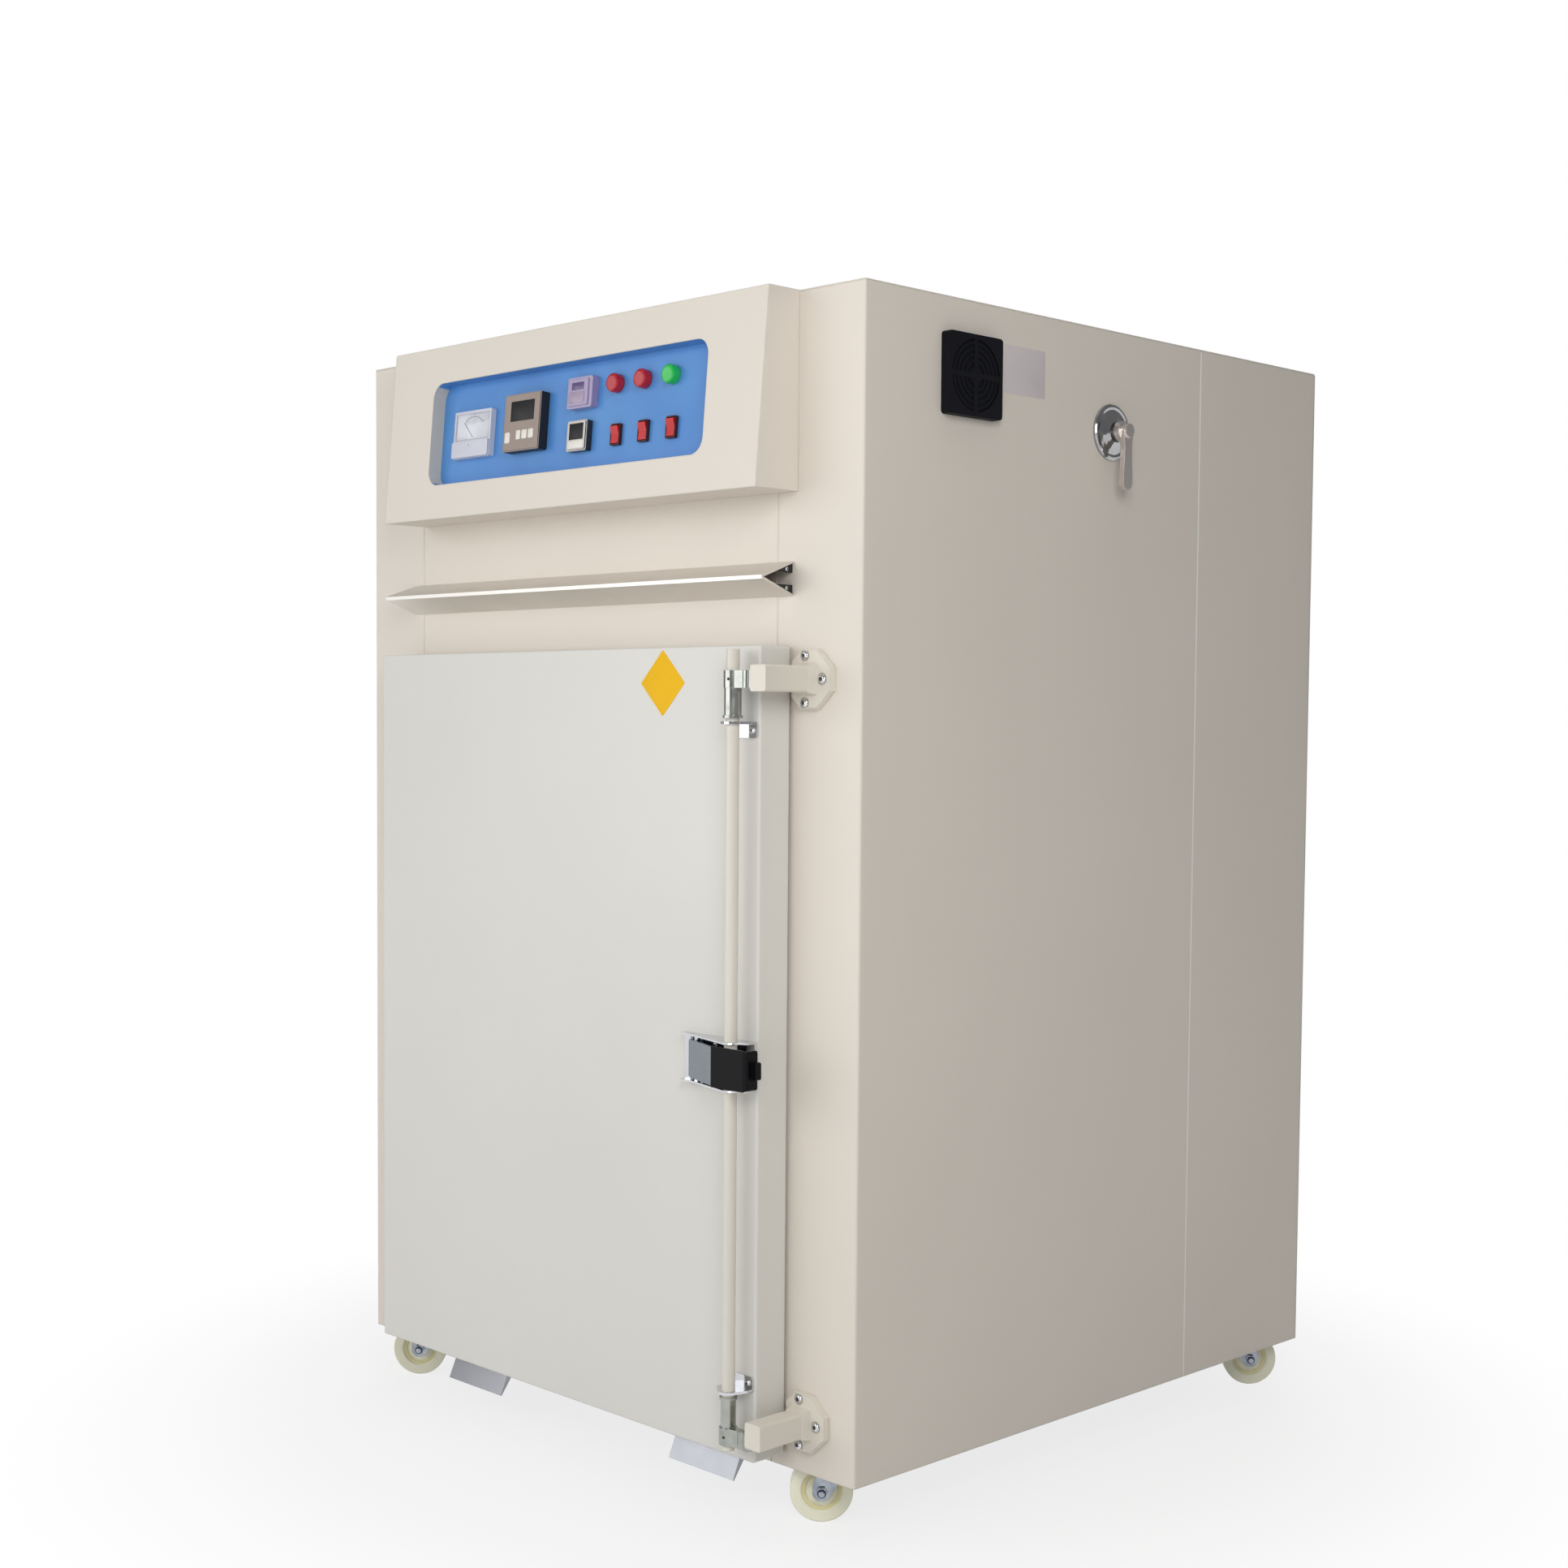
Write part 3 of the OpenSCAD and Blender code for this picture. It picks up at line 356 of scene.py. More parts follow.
# Painted reflection: a darker copy of the bright plating for the damper's dish, standing in for the dark
# surroundings it reflects.
CHROME_PAINTED_DARK = bare_metal("chrome_painted_dark_reflection", srgb(184, 184, 186), srgb(156, 157, 160), None, 0.06, 0.14, scale=30.0)
LEVER_CHROME = bare_metal("worn_plating", srgb(226, 219, 214), srgb(208, 201, 197), None, 0.3, 0.4, scale=30.0)
# Painted reflection: the cams' plating is given a darker colour than the bright plating, standing in for the dark
# surroundings it reflects.
CAM_PLATING_PAINTED_DARK = bare_metal("cam_plating_painted_dark_reflection", srgb(178, 180, 174), srgb(152, 156, 150), None, 0.12, 0.24, scale=40.0)
FORK_STEEL = bare_metal("pressed_fork", srgb(176, 182, 190), srgb(124, 130, 141), None, 0.12, 0.26, scale=45.0)
STAINLESS_UP = bare_metal("stainless_liner", srgb(188, 189, 190), srgb(178, 179, 181), GRAIN_UP, 0.26, 0.42)
ZINC = bare_metal("zinc_plating", srgb(176, 180, 188), srgb(154, 158, 166), None, 0.22, 0.38, scale=60.0)
CHROME = bare_metal("bright_plating", srgb(214, 215, 218), srgb(202, 203, 207), None, 0.07, 0.16, scale=30.0)
BRUSHED_STRAP = bare_metal("brushed_strap", srgb(128, 136, 143), srgb(118, 126, 134), None, 0.26, 0.36)
LIP_STEEL = bare_metal("lip_sheet", srgb(157, 159, 164), srgb(146, 148, 154), None, 0.2, 0.28)
GRIP_BLACK = moulded("black_grip", srgb(5, 6, 10), srgb(3, 4, 7), 0.34, radius=0.0022, specular=0.14)
FAN_BLACK = moulded("black_guard", srgb(15, 16, 23), srgb(11, 12, 18), 0.6, specular=0.15)
FILTER_FOAM = moulded("filter_foam", srgb(17, 18, 25), srgb(12, 13, 19), 0.7, grain=0.0003, grain_scale=500.0,
                      specular=0.1)
SWITCH_BROWN = moulded("switch_frame", srgb(74, 26, 28), srgb(60, 20, 22), 0.4, specular=0.3)
BRACKET_BLACK = painted("black_bracket", srgb(30, 30, 31), srgb(22, 22, 23), 0.4, radius=0.0006, edge_highlight=0.1)
# The recess's left wall is the hood's cream, darkened as painted shade in the recess.
BLUE_PRINT = painted("blue_panel_print", srgb(86, 147, 212), srgb(72, 133, 204), 0.42, radius=0.001, edge_highlight=0.15,
                     coat=0.1, scale=7.0, shaded_left_wall=srgb(206, 200, 188))
METER_CASE = moulded("meter_case", srgb(206, 208, 220), srgb(196, 198, 212), 0.18, coat=0.3)
METER_DIAL = moulded("meter_dial", srgb(232, 232, 236), srgb(224, 225, 230), 0.5, grain=0.00001)
# Dark ink for the scale marks and the needle; also painted shade in the zero screw's slot.
METER_INK_AND_SLOT_SHADE = moulded("meter_ink_and_slot_shade", srgb(58, 60, 70), srgb(50, 52, 60), 0.5, grain=0.00001)
CASE_SIDES = srgb(24, 22, 22)
CONTROLLER_CASE = moulded("controller_case", srgb(158, 143, 134), srgb(150, 135, 127), 0.42, sides=CASE_SIDES)
DISPLAY = moulded("display_window", srgb(36, 34, 37), srgb(30, 28, 31), 0.36, grain=0.000005, specular=0.25)
KEYS = moulded("white_keys", srgb(238, 234, 226), srgb(228, 224, 216), 0.4)
TIMER_CASE = moulded("tinted_timer_case", srgb(152, 138, 178), srgb(142, 128, 170), 0.2, coat=0.4)
TIMER_FACE = moulded("timer_face", srgb(172, 156, 178), srgb(162, 146, 170), 0.35)
TIMER_DISPLAY = moulded("timer_display", srgb(104, 86, 130), srgb(94, 78, 120), 0.25)
SILVER_CASE = moulded("silver_case", srgb(206, 200, 194), srgb(196, 190, 184), 0.3, coat=0.2, sides=CASE_SIDES)
LAMP_RED = moulded("red_lens", srgb(190, 24, 42), srgb(170, 16, 32), 0.25, radius=0.0014, coat=0.15)
LAMP_GREEN = moulded("green_lens", srgb(38, 196, 84), srgb(28, 182, 70), 0.25, radius=0.0014, coat=0.15)
ROCKER_RED = moulded("red_rocker", srgb(204, 10, 22), srgb(190, 6, 16), 0.3, coat=0.1, specular=0.35)
SILICONE = moulded("silicone_gasket", srgb(168, 74, 56), srgb(150, 62, 46), 0.6)
NYLON = moulded("cast_nylon", srgb(250, 248, 226), srgb(246, 243, 214), 0.34, radius=0.003, coat=0.15)
# Painted reflection: a yellower nylon tone for the wheels' ledges, standing in for light reflected inside the nylon.
LEDGE_PAINTED_REFLECTION = moulded("nylon_ledge_painted_reflection", srgb(238, 228, 172), srgb(230, 219, 160), 0.34, grain=0.00001)
YELLOW_PLATE = moulded("yellow_plate", srgb(246, 192, 26), srgb(242, 187, 22), 0.55, radius=0.0004, specular=0.2)
SILVER_PLATE = moulded("silver_label", srgb(220, 211, 212), srgb(212, 203, 205), 0.4, coat=0.1, radius=0.0004)
SEALANT = moulded("pale_sealant", srgb(252, 250, 244), srgb(246, 243, 236), 0.45)
SEAM_FILLER = moulded("seam_filler", srgb(226, 218, 207), srgb(220, 212, 201), 0.45)
CLEAR_WINDOW = clear_plastic("clear_window", srgb(246, 247, 250))
NUT_INSERT = moulded("blue_nut_insert", srgb(46, 62, 104), srgb(36, 50, 90), 0.45)

NODE_FINISHES = {
    CREAM: ["left_side_panel", "left_rear_panel", "right_side_panel", "right_rear_panel", "back_panel",
            "left_stile", "right_stile", "front_fascia", "front_sill", "control_hood"],
    TOP_CREAM: ["top_panel"],
    DOOR_CREAM: ["door_panel", "hinge_frame_leaves", "hinge_door_leaves"],
    KEEPER_PAINT: ["keepers"],
    ROD_PAINT: ["lock_rod"],
    STAINLESS_ALONG: ["heat_deflector"],
    LIP_STEEL: ["bottom_lips"],
    STAINLESS_UP: ["doorway_border", "chamber_sides", "chamber_back", "chamber_ceiling", "chamber_floor_pan",
                   "door_inner_panel"],
    ZINC: ["base_pan", "caster_plates"],
    FORK_STEEL: ["fork_front_left", "fork_front_right", "fork_rear_left", "fork_rear_right"],
    CHROME: ["rod_guides", "handle_base"],
    CHROME_PAINTED_DARK: ["damper_escutcheon"],
    LEVER_CHROME: ["damper_lever"],
    CAM_PLATING_PAINTED_DARK: ["lock_cams"],
    BRUSHED_STRAP: ["handle_lever"],
    GRIP_BLACK: ["handle_grip"],
    FAN_BLACK: ["fan_grille"],
    SWITCH_BROWN: ["switch_frames"],
    BRACKET_BLACK: ["deflector_brackets"],
    BLUE_PRINT: ["control_panel"],
    METER_CASE: ["ammeter"],
    CONTROLLER_CASE: ["temperature_controller"],
    TIMER_CASE: ["timer"],
    SILVER_CASE: ["limit_controller"],
    LAMP_RED: ["red_lamps"],
    LAMP_GREEN: ["green_lamp"],
    ROCKER_RED: ["rocker_1", "rocker_2", "rocker_3"],
    SILICONE: ["door_gasket"],
    NYLON: ["wheel_front_left", "wheel_front_right", "wheel_rear_left", "wheel_rear_right"],
}
for material, nodes in NODE_FINISHES.items():
    for node in nodes:
        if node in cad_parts:
            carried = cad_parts[node]
            carried.data.materials.clear()
            carried.data.materials.append(material)


# Shapes for the small pieces
def hood_spot(x, out, down):
    """A place on the control panel: along the hood, out of the blue panel, and down its slope."""
    forward = out - PANEL_RECESS
    y = CABINET_FRONT - HOOD_TOP_DEPTH - forward * math.cos(HOOD_LEAN) - down * math.sin(HOOD_LEAN)
    z = CABINET_TOP + forward * math.sin(HOOD_LEAN) - down * math.cos(HOOD_LEAN)
    return placed(x, y, z)


def facing(origin, out):
    """A frame at a place whose Z axis points out of the surface and whose Y axis points up."""
    out = out.normalized()
    up = Vector((0, 0, 1)) - out * out.z
    if up.length < 0.01:
        up = Vector((0, 1, 0))
    up.normalize()
    side = up.cross(out)
    turn = Matrix((side, up, out)).transposed().to_4x4()
    return Matrix.Translation(origin) @ turn


def finished_piece(name, mesh, material, body, smooth=35):
    bmesh.ops.remove_doubles(mesh, verts=mesh.verts, dist=1e-7)
    bmesh.ops.recalc_face_normals(mesh, faces=mesh.faces)
    data = bpy.data.meshes.new(name)
    mesh.to_mesh(data)
    mesh.free()
    data.materials.append(material)
    limit = math.radians(smooth)
    data.polygons.foreach_set("use_smooth", [True] * len(data.polygons))
    data.set_sharp_from_angle(angle=limit)
    piece = bpy.data.objects.new(name, data)
    bpy.context.scene.collection.objects.link(piece)
    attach(piece, body)
    return piece


def joined(*meshes):
    whole = bmesh.new()
    for part in meshes:
        data = bpy.data.meshes.new("part")
        part.to_mesh(data)
        part.free()
        whole.from_mesh(data)
        bpy.data.meshes.remove(data)
    return whole


def moved(mesh, where):
    bmesh.ops.transform(mesh, matrix=where, verts=mesh.verts)
    return mesh


def round_edges(mesh, width, segments=2, edges=None):
    chosen = edges if edges is not None else [e for e in mesh.edges if e.calc_face_angle(0) > 0.5]
    bmesh.ops.bevel(mesh, geom=chosen, offset=width, segments=segments, profile=0.5, affect="EDGES", material=-1)
    return mesh


def slab(width, height, thick, edge=0.0004, corner=0.0):
    """A plate in its own frame: width along X, height along Y, standing up from Z = 0."""
    mesh = bmesh.new()
    bmesh.ops.create_cube(mesh, size=1.0)
    bmesh.ops.scale(mesh, vec=(width, height, thick), verts=mesh.verts)
    bmesh.ops.translate(mesh, vec=(0, 0, thick / 2), verts=mesh.verts)
    if corner:
        upright = [e for e in mesh.edges if abs((e.verts[0].co - e.verts[1].co).z) > thick * 0.9]
        round_edges(mesh, corner, 5, upright)
    if edge:
        front = [e for e in mesh.edges if min(v.co.z for v in e.verts) > thick - 1e-6]
        round_edges(mesh, edge, 2, front)
    return mesh


def turned(outline, steps, closed=False):
    """A round piece from its outline, given as radius and height in metres."""
    mesh = bmesh.new()
    points = [mesh.verts.new((r, 0, z)) for r, z in outline]
    for a, b in zip(points, points[1:]):
        mesh.edges.new((a, b))
    if closed:
        mesh.edges.new((points[-1], points[0]))
    bmesh.ops.spin(mesh, geom=mesh.verts[:] + mesh.edges[:], cent=(0, 0, 0), axis=(0, 0, 1), angle=math.tau,
                   steps=steps, use_merge=True)
    return mesh


def button_screw(radius, height, washer=0.0, socket=0.45):
    """A low round screw head with a six-sided socket, on its washer."""
    parts = []
    base = 0.0
    if washer:
        ring = bmesh.new()
        bmesh.ops.create_cone(ring, cap_ends=True, segments=32, radius1=washer, radius2=washer, depth=0.0012)
        bmesh.ops.translate(ring, vec=(0, 0, 0.0006), verts=ring.verts)
        round_edges(ring, 0.0003, 1)
        parts.append(ring)
        base = 0.0012
    head = turned([(0.0, height), (radius * 0.45, height * 0.97), (radius * 0.75, height * 0.82),
                   (radius * 0.95, height * 0.5), (radius, height * 0.2), (radius, 0.0)], 24)
    bmesh.ops.translate(head, vec=(0, 0, base), verts=head.verts)
    parts.append(head)
    # The socket is a thin six-sided disc on the head, not a hole; it is given a dark finish as painted shade.
    hole = bmesh.new()
    bmesh.ops.create_cone(hole, cap_ends=True, segments=6, radius1=radius * socket, radius2=radius * socket * 0.9,
                          depth=0.0004)
    bmesh.ops.translate(hole, vec=(0, 0, base + height + 0.0001), verts=hole.verts)
    return joined(*parts), hole


# Painted shade: a dark finish for the socket discs and grub screws, standing in for the shade in their holes.
SOCKET_DARK = moulded("socket_shadow", srgb(48, 48, 50), srgb(38, 38, 40), 0.5)


def screws(name, places, out, radius, height, washer, body, material=CHROME):
    heads, holes = [], []
    for spot in places:
        head, hole = button_screw(radius, height, washer)
        turn = Matrix.Rotation(random.uniform(0, 1.0), 4, "Z")
        heads.append(moved(head, facing(spot, out) @ turn))
        holes.append(moved(hole, facing(spot, out) @ turn))
    finished_piece(name, joined(*heads), material, body)
    finished_piece(name + "_socket_shade", joined(*holes), SOCKET_DARK, body)


# Bolts of the two keepers
KEEPER_SEAT = CABINET_FRONT - 8
keeper_bolts = [placed(x, KEEPER_SEAT, height + rise) for height in (165, 1275)
                for x, rise in ((511, 35), (547, 0), (511, -35))]
screws("keeper_bolts", keeper_bolts, FRONT, 0.0075, 0.0048, 0.0, "cabinet")

# Screws of the rod guides, the handle's base and the heat deflector's brackets
GUIDE_FACE = DOOR_FRONT - 3
screws("guide_screws", [placed(463, GUIDE_FACE, 1199), placed(463, GUIDE_FACE, 226)], FRONT, 0.005, 0.003, 0.0,
       "door")

screws("deflector_screws", [placed(AWNING_END, CABINET_FRONT - 12, AWNING_HEIGHT + rise) for rise in (-14, 14)],
       RIGHT, 0.0032, 0.0016, 0.0, "cabinet")
base_screws = [placed(x, DOOR_FRONT - 3, HANDLE_HEIGHT + rise) for x in (332, 386) for rise in (-24, 24)]
screws("handle_base_screws", base_screws, FRONT, 0.004, 0.002, 0.0, "door")

# Grub screws in the collars of the two cams: thin dark discs, partly the screws' own dark steel and partly painted
# shade in their holes
GRUB_OUT = Vector((0.32, -0.95, 0)).normalized()
grubs = []
for height in CAM_HEIGHTS:
    grub = bmesh.new()
    bmesh.ops.create_cone(grub, cap_ends=True, segments=20, radius1=0.0022, radius2=0.0022, depth=0.0006)
    middle = placed(ROD[0], ROD[1], height) + GRUB_OUT * CAM_COLLAR
    grubs.append(moved(grub, facing(middle, GRUB_OUT)))
finished_piece("cam_grub_screws", joined(*grubs), SOCKET_DARK, "rod")

# A pale bead along each upright seam of the cabinet
def seam_bead(name, x, y, out, low, high, width, proud, material):
    bead = slab(width / 1000, (high - low) / 1000, proud / 1000 + 0.001, 0.0003)
    place = facing(placed(x, y, (low + high) / 2) - out * 0.001, out)
    finished_piece(name, moved(bead, place), material, "cabinet")


for side, label, width, proud in ((-1, "left", 1.7, -0.2), (1, "right", 3.0, 0.3)):
    seam_bead(f"{label}_side_seam", side * CABINET_RIGHT, SIDE_SEAM, RIGHT * side, 88, 1842, width, proud, SEALANT)
for x, label in ((FRONT_SEAMS[0], "left"), (FRONT_SEAMS[1], "right")):
    seam_bead(f"{label}_front_seam", x, CABINET_FRONT, FRONT, FRONT_SEAM_LOW, 1842, 1.6, -0.2, SEAM_FILLER)

# Lock-nut inserts and bolt ends on the caster axles
for corner, (x, y, turn) in CASTERS.items():
    trail = Vector((math.cos(math.radians(turn)), math.sin(math.radians(turn)), 0))
    axle = Vector((-trail.y, trail.x, 0))
    inserts, ends = [], []
    for way in (-1, 1):
        face = placed(x, y, AXLE_HEIGHT) + trail * CASTER_TRAIL + axle * way * NUT_FACE
        ring = bmesh.new()
        bmesh.ops.create_cone(ring, cap_ends=True, segments=32, radius1=0.0072, radius2=0.0066, depth=0.0014)
        inserts.append(moved(ring, facing(face + axle * way * 0.0006, axle * way)))
        tip = bmesh.new()
        bmesh.ops.create_cone(tip, cap_ends=True, segments=24, radius1=0.005, radius2=0.004, depth=0.0012)
        ends.append(moved(tip, facing(face + axle * way * 0.0034, axle * way)))
    finished_piece(f"nut_inserts_{corner}", joined(*inserts), NUT_INSERT, f"caster_{corner}")
    finished_piece(f"axle_ends_{corner}", joined(*ends), ZINC, f"caster_{corner}")
    # Painted reflection: a thin yellow ring laid on the ledge of each wheel face.
    rings = []
    for way in (-1, 1):
        ring = turned([(r / 1000, h / 1000) for r, h in LEDGE_RING], 96, True)
        middle = placed(x, y, AXLE_HEIGHT) + trail * CASTER_TRAIL
        rings.append(moved(ring, facing(middle, axle * way)))
    finished_piece(f"ledge_reflection_rings_{corner}", joined(*rings), LEDGE_PAINTED_REFLECTION, f"roller_{corner}")

# Foam behind the rings of the fan guard
foam = bmesh.new()
bmesh.ops.create_cone(foam, cap_ends=True, segments=96, radius1=0.0535, radius2=0.0535, depth=0.0006)
foam_place = facing(placed(CABINET_RIGHT + FOAM_OUT, *GUARD_MIDDLE), RIGHT)
finished_piece("fan_filter_foam", moved(foam, foam_place), FILTER_FOAM, "cabinet")

# Bare plates where the photo has a printed one
plate = slab(0.072, 0.072, 0.0006, 0.0002, 0.002)
plate = moved(plate, facing(placed(259, DOOR_FRONT, 1270), FRONT) @ Matrix.Scale(1.0, 4) @ Matrix.Rotation(math.radians(45), 4, "Z"))
finished_piece("yellow_diamond_plate", plate, YELLOW_PLATE, "door")
label = slab(0.098, 0.073, 0.0005, 0.0002, 0.0015)
label = moved(label, facing(placed(CABINET_RIGHT, -229, 1754.5), RIGHT))
finished_piece("bare_label_plate", label, SILVER_PLATE, "cabinet")


# Faces of the panel instruments
def on_panel(name, x, down, out, width, height, thick, material, edge=0.0003, corner=0.001):
    mesh = slab(width / 1000, height / 1000, thick / 1000, edge, corner)
    return finished_piece(name, moved(mesh, facing(hood_spot(x, out, down), HOOD_OUT)), material, "cabinet")


def dial_spot(out, across_dial=0.0, up_dial=0.0):
    """A place on the meter's scale, measured from the needle's pivot."""
    return hood_spot(METER_PIVOT[0] + across_dial, out, METER_PIVOT[1] - up_dial)


def dial_arc(radius, width, thick, sweep):
    """A flat arc centred above the pivot."""
    mesh = bmesh.new()
    corners = [(radius, 0), (radius + width, 0), (radius + width, thick), (radius, thick)]
    section = mesh.faces.new([mesh.verts.new((r / 1000, 0, z / 1000)) for r, z in corners])
    start = Matrix.Rotation(math.radians(90 - sweep / 2), 3, "Z")
    bmesh.ops.rotate(mesh, cent=(0, 0, 0), matrix=start, verts=mesh.verts)
    bmesh.ops.spin(mesh, geom=mesh.verts[:] + mesh.edges[:] + [section], cent=(0, 0, 0), axis=(0, 0, 1),
                   angle=math.radians(sweep), steps=24)
    bmesh.ops.holes_fill(mesh, edges=[e for e in mesh.edges if e.is_boundary], sides=4)
    return mesh


# Panel meter: its scale, needle, clear window and zero screw
METER_PIVOT = (-239, 158)
on_panel("meter_scale_plate", -239, 140, 7, 92, 44, 0.4, METER_DIAL)
marks = [moved(dial_arc(34, 0.5, 0.15, 92), facing(dial_spot(7.4), HOOD_OUT))]
for number in range(11):
    turn = Matrix.Rotation(math.radians(46 - 9.2 * number), 4, "Z")
    length = 4.5 if number % 5 == 0 else 2.8
    tick = slab(0.0005, length / 1000, 0.00015, 0)
    tick = moved(tick, Matrix.Translation((0, 0.034 + length / 2000, 0)))
    marks.append(moved(tick, facing(dial_spot(7.4), HOOD_OUT) @ turn))
finished_piece("meter_scale_marks", joined(*marks), METER_INK_AND_SLOT_SHADE, "cabinet")
needle = moved(slab(0.0007, 0.033, 0.0003, 0), Matrix.Translation((0, 0.0165, 0)))
needle_turn = Matrix.Rotation(math.radians(44), 4, "Z")
finished_piece("meter_needle", moved(needle, facing(dial_spot(8.2), HOOD_OUT) @ needle_turn), METER_INK_AND_SLOT_SHADE,
               "cabinet")
on_panel("meter_window", -239, 140, 9, 91.6, 43.6, 0.9, CLEAR_WINDOW, 0.0002)
zero_screw, zero_slot = button_screw(0.0032, 0.001)
finished_piece("meter_zero_screw", moved(zero_screw, facing(hood_spot(-239, 14, 172), HOOD_OUT)), METER_DIAL,
               "cabinet")
# Painted shade: the zero screw's slot is a thin dark disc standing in for the shade in the slot.
finished_piece("meter_zero_slot", moved(zero_slot, facing(hood_spot(-239, 14, 172), HOOD_OUT)), METER_INK_AND_SLOT_SHADE,
               "cabinet")

# Temperature controller: display and keys
on_panel("controller_display", -92, 128.5, 16.5, 61, 32, 1.0, DISPLAY, 0.0002)
on_panel("controller_key_0", -128, 171, 18, 13, 18, 1.4, KEYS, 0.0005, 0.003)
for number, (x, width) in enumerate([(-99, 11), (-83, 13), (-66, 13)]):
    on_panel(f"controller_key_{number + 1}", x, 168, 18, width, 15, 1.4, KEYS, 0.0005, 0.0015)

# Timer and limit controller
on_panel("timer_readout", 45, 102, 15, 30, 12, 0.4, TIMER_DISPLAY)
on_panel("timer_pad", 44, 120, 15, 36, 18, 0.8, TIMER_FACE, 0.0004, 0.0015)
on_panel("limit_display", 45.5, 174, 11.5, 34, 25, 1.0, DISPLAY, 0.0002)
on_panel("limit_keypad", 45.5, 195, 13, 38, 12, 0.5, KEYS, 0.0003, 0.001)

# Camera, floor and light
CAMERA_PLACE = Vector((2.8016, -2.8228, 1.2100))
YAW, PITCH, ROLL = math.radians(44.962), math.radians(-3.063), math.radians(0.4916)
look = Vector((-math.sin(YAW) * math.cos(PITCH), math.cos(YAW) * math.cos(PITCH), math.sin(PITCH)))
across = look.cross(Vector((0, 0, 1))).normalized()
upward = across.cross(look).normalized()
across_rolled = across * math.cos(ROLL) + upward * math.sin(ROLL)
upward_rolled = -across * math.sin(ROLL) + upward * math.cos(ROLL)
camera_data = bpy.data.cameras.new("camera")
camera_data.sensor_width = 36
camera_data.lens = 50.57
camera_data.shift_x = -0.02127
camera_data.shift_y = 0.03665
camera = bpy.data.objects.new("camera", camera_data)
bpy.context.scene.collection.objects.link(camera)
camera.matrix_world = Matrix.Translation(CAMERA_PLACE) @ Matrix((across_rolled, upward_rolled, -look)).transposed().to_4x4()
bpy.context.scene.camera = camera


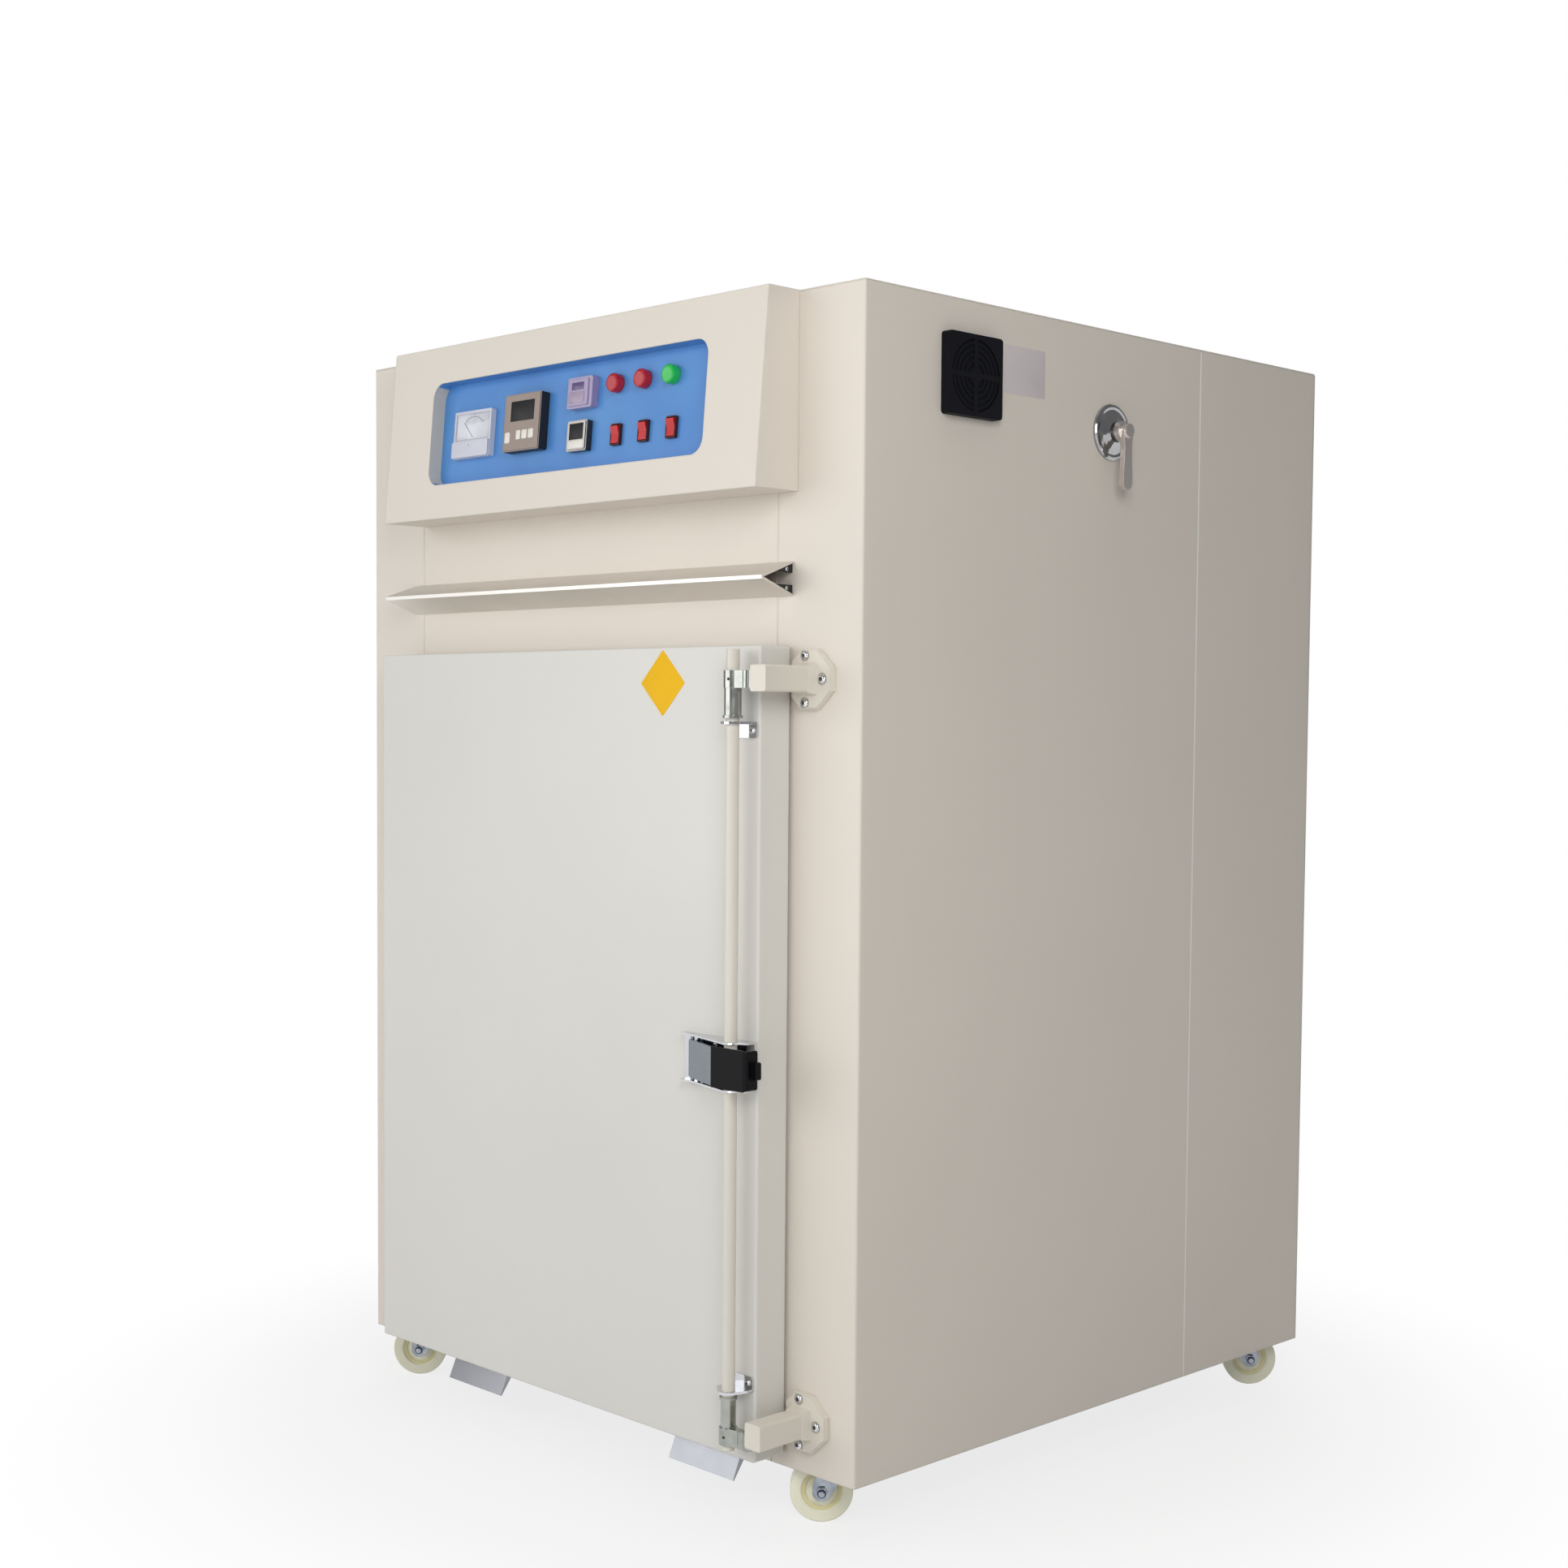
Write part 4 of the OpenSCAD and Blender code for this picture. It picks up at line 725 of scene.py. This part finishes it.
def floor_finish():
    material = bpy.data.materials.new("studio_floor")
    material.use_nodes = True
    tree = material.node_tree
    shader = tree.nodes["Principled BSDF"]
    shader.inputs["Base Color"].default_value = (0.72, 0.72, 0.72, 1)
    shader.inputs["Roughness"].default_value = 0.7
    shader.inputs["Specular IOR Level"].default_value = 0.1
    glow = tree.nodes.new("ShaderNodeEmission")
    glow.inputs["Color"].default_value = (1, 1, 1, 1)
    glow.inputs["Strength"].default_value = 1.0
    coords = tree.nodes.new("ShaderNodeTexCoord")
    length = tree.nodes.new("ShaderNodeVectorMath")
    length.operation = "LENGTH"
    fade = tree.nodes.new("ShaderNodeMapRange")
    fade.interpolation_type = "SMOOTHSTEP"
    fade.inputs["From Min"].default_value = 0.7
    fade.inputs["From Max"].default_value = 1.5
    fade.inputs["To Min"].default_value = 0.78
    rays = tree.nodes.new("ShaderNodeLightPath")
    seen = tree.nodes.new("ShaderNodeMath")
    seen.operation = "MAXIMUM"
    seen_too = tree.nodes.new("ShaderNodeMath")
    seen_too.operation = "MAXIMUM"
    amount = tree.nodes.new("ShaderNodeMath")
    amount.operation = "MULTIPLY"
    mix = tree.nodes.new("ShaderNodeMixShader")
    tree.links.new(coords.outputs["Object"], length.inputs[0])
    tree.links.new(length.outputs["Value"], fade.inputs["Value"])
    tree.links.new(rays.outputs["Is Camera Ray"], seen.inputs[0])
    tree.links.new(rays.outputs["Is Glossy Ray"], seen.inputs[1])
    tree.links.new(seen.outputs[0], seen_too.inputs[0])
    tree.links.new(rays.outputs["Is Transmission Ray"], seen_too.inputs[1])
    tree.links.new(fade.outputs["Result"], amount.inputs[0])
    tree.links.new(seen_too.outputs[0], amount.inputs[1])
    tree.links.new(amount.outputs[0], mix.inputs["Fac"])
    tree.links.new(shader.outputs["BSDF"], mix.inputs[1])
    tree.links.new(glow.outputs["Emission"], mix.inputs[2])
    tree.links.new(mix.outputs["Shader"], tree.nodes["Material Output"].inputs["Surface"])
    return material


floor_mesh = bmesh.new()
bmesh.ops.create_grid(floor_mesh, x_segments=1, y_segments=1, size=40.0)
floor_data = bpy.data.meshes.new("studio_floor")
floor_mesh.to_mesh(floor_data)
floor_mesh.free()
floor_data.materials.append(floor_finish())
floor = bpy.data.objects.new("studio_floor", floor_data)
bpy.context.scene.collection.objects.link(floor)

world = bpy.data.worlds.new("studio")
bpy.context.scene.world = world
world.use_nodes = True
sky = world.node_tree
background = sky.nodes["Background"]
background.inputs["Color"].default_value = (1, 1, 1, 1)
rays = sky.nodes.new("ShaderNodeLightPath")
bright = sky.nodes.new("ShaderNodeMapRange")
bright.inputs["To Min"].default_value = 0.22
bright.inputs["To Max"].default_value = 1.0
seen = sky.nodes.new("ShaderNodeMath")
seen.operation = "MAXIMUM"
sky.links.new(rays.outputs["Is Camera Ray"], seen.inputs[0])
sky.links.new(rays.outputs["Is Transmission Ray"], seen.inputs[1])
sky.links.new(seen.outputs[0], bright.inputs["Value"])
sky.links.new(bright.outputs["Result"], background.inputs["Strength"])


def soft_light(name, place, target, size, power):
    data = bpy.data.lights.new(name, "AREA")
    data.shape = "RECTANGLE"
    data.size, data.size_y = size
    data.energy = power
    light = bpy.data.objects.new(name, data)
    bpy.context.scene.collection.objects.link(light)
    direction = Vector(target) - Vector(place)
    light.location = place
    light.rotation_euler = direction.to_track_quat("-Z", "Y").to_euler()
    return light


soft_light("front_light", (-1.5, -4.2, 1.9), (0, -0.4, 0.9), (5.2, 2.8), 85)
soft_light("top_light", (0.3, -0.2, 4.4), (0.1, 0.1, 0.9), (2.8, 2.8), 34)
soft_light("side_light", (2.7, -2.2, 2.3), (0.6, -0.3, 1.4), (1.4, 1.4), 36)
soft_light("back_light", (-2.8, 3.8, 2.0), (0, 0.3, 0.9), (3.0, 2.6), 58)
soft_light("low_light", (2.2, -2.9, 0.4), (0.2, -0.4, 0.05), (2.4, 0.5), 8)

bpy.context.scene.view_settings.view_transform = "Standard"
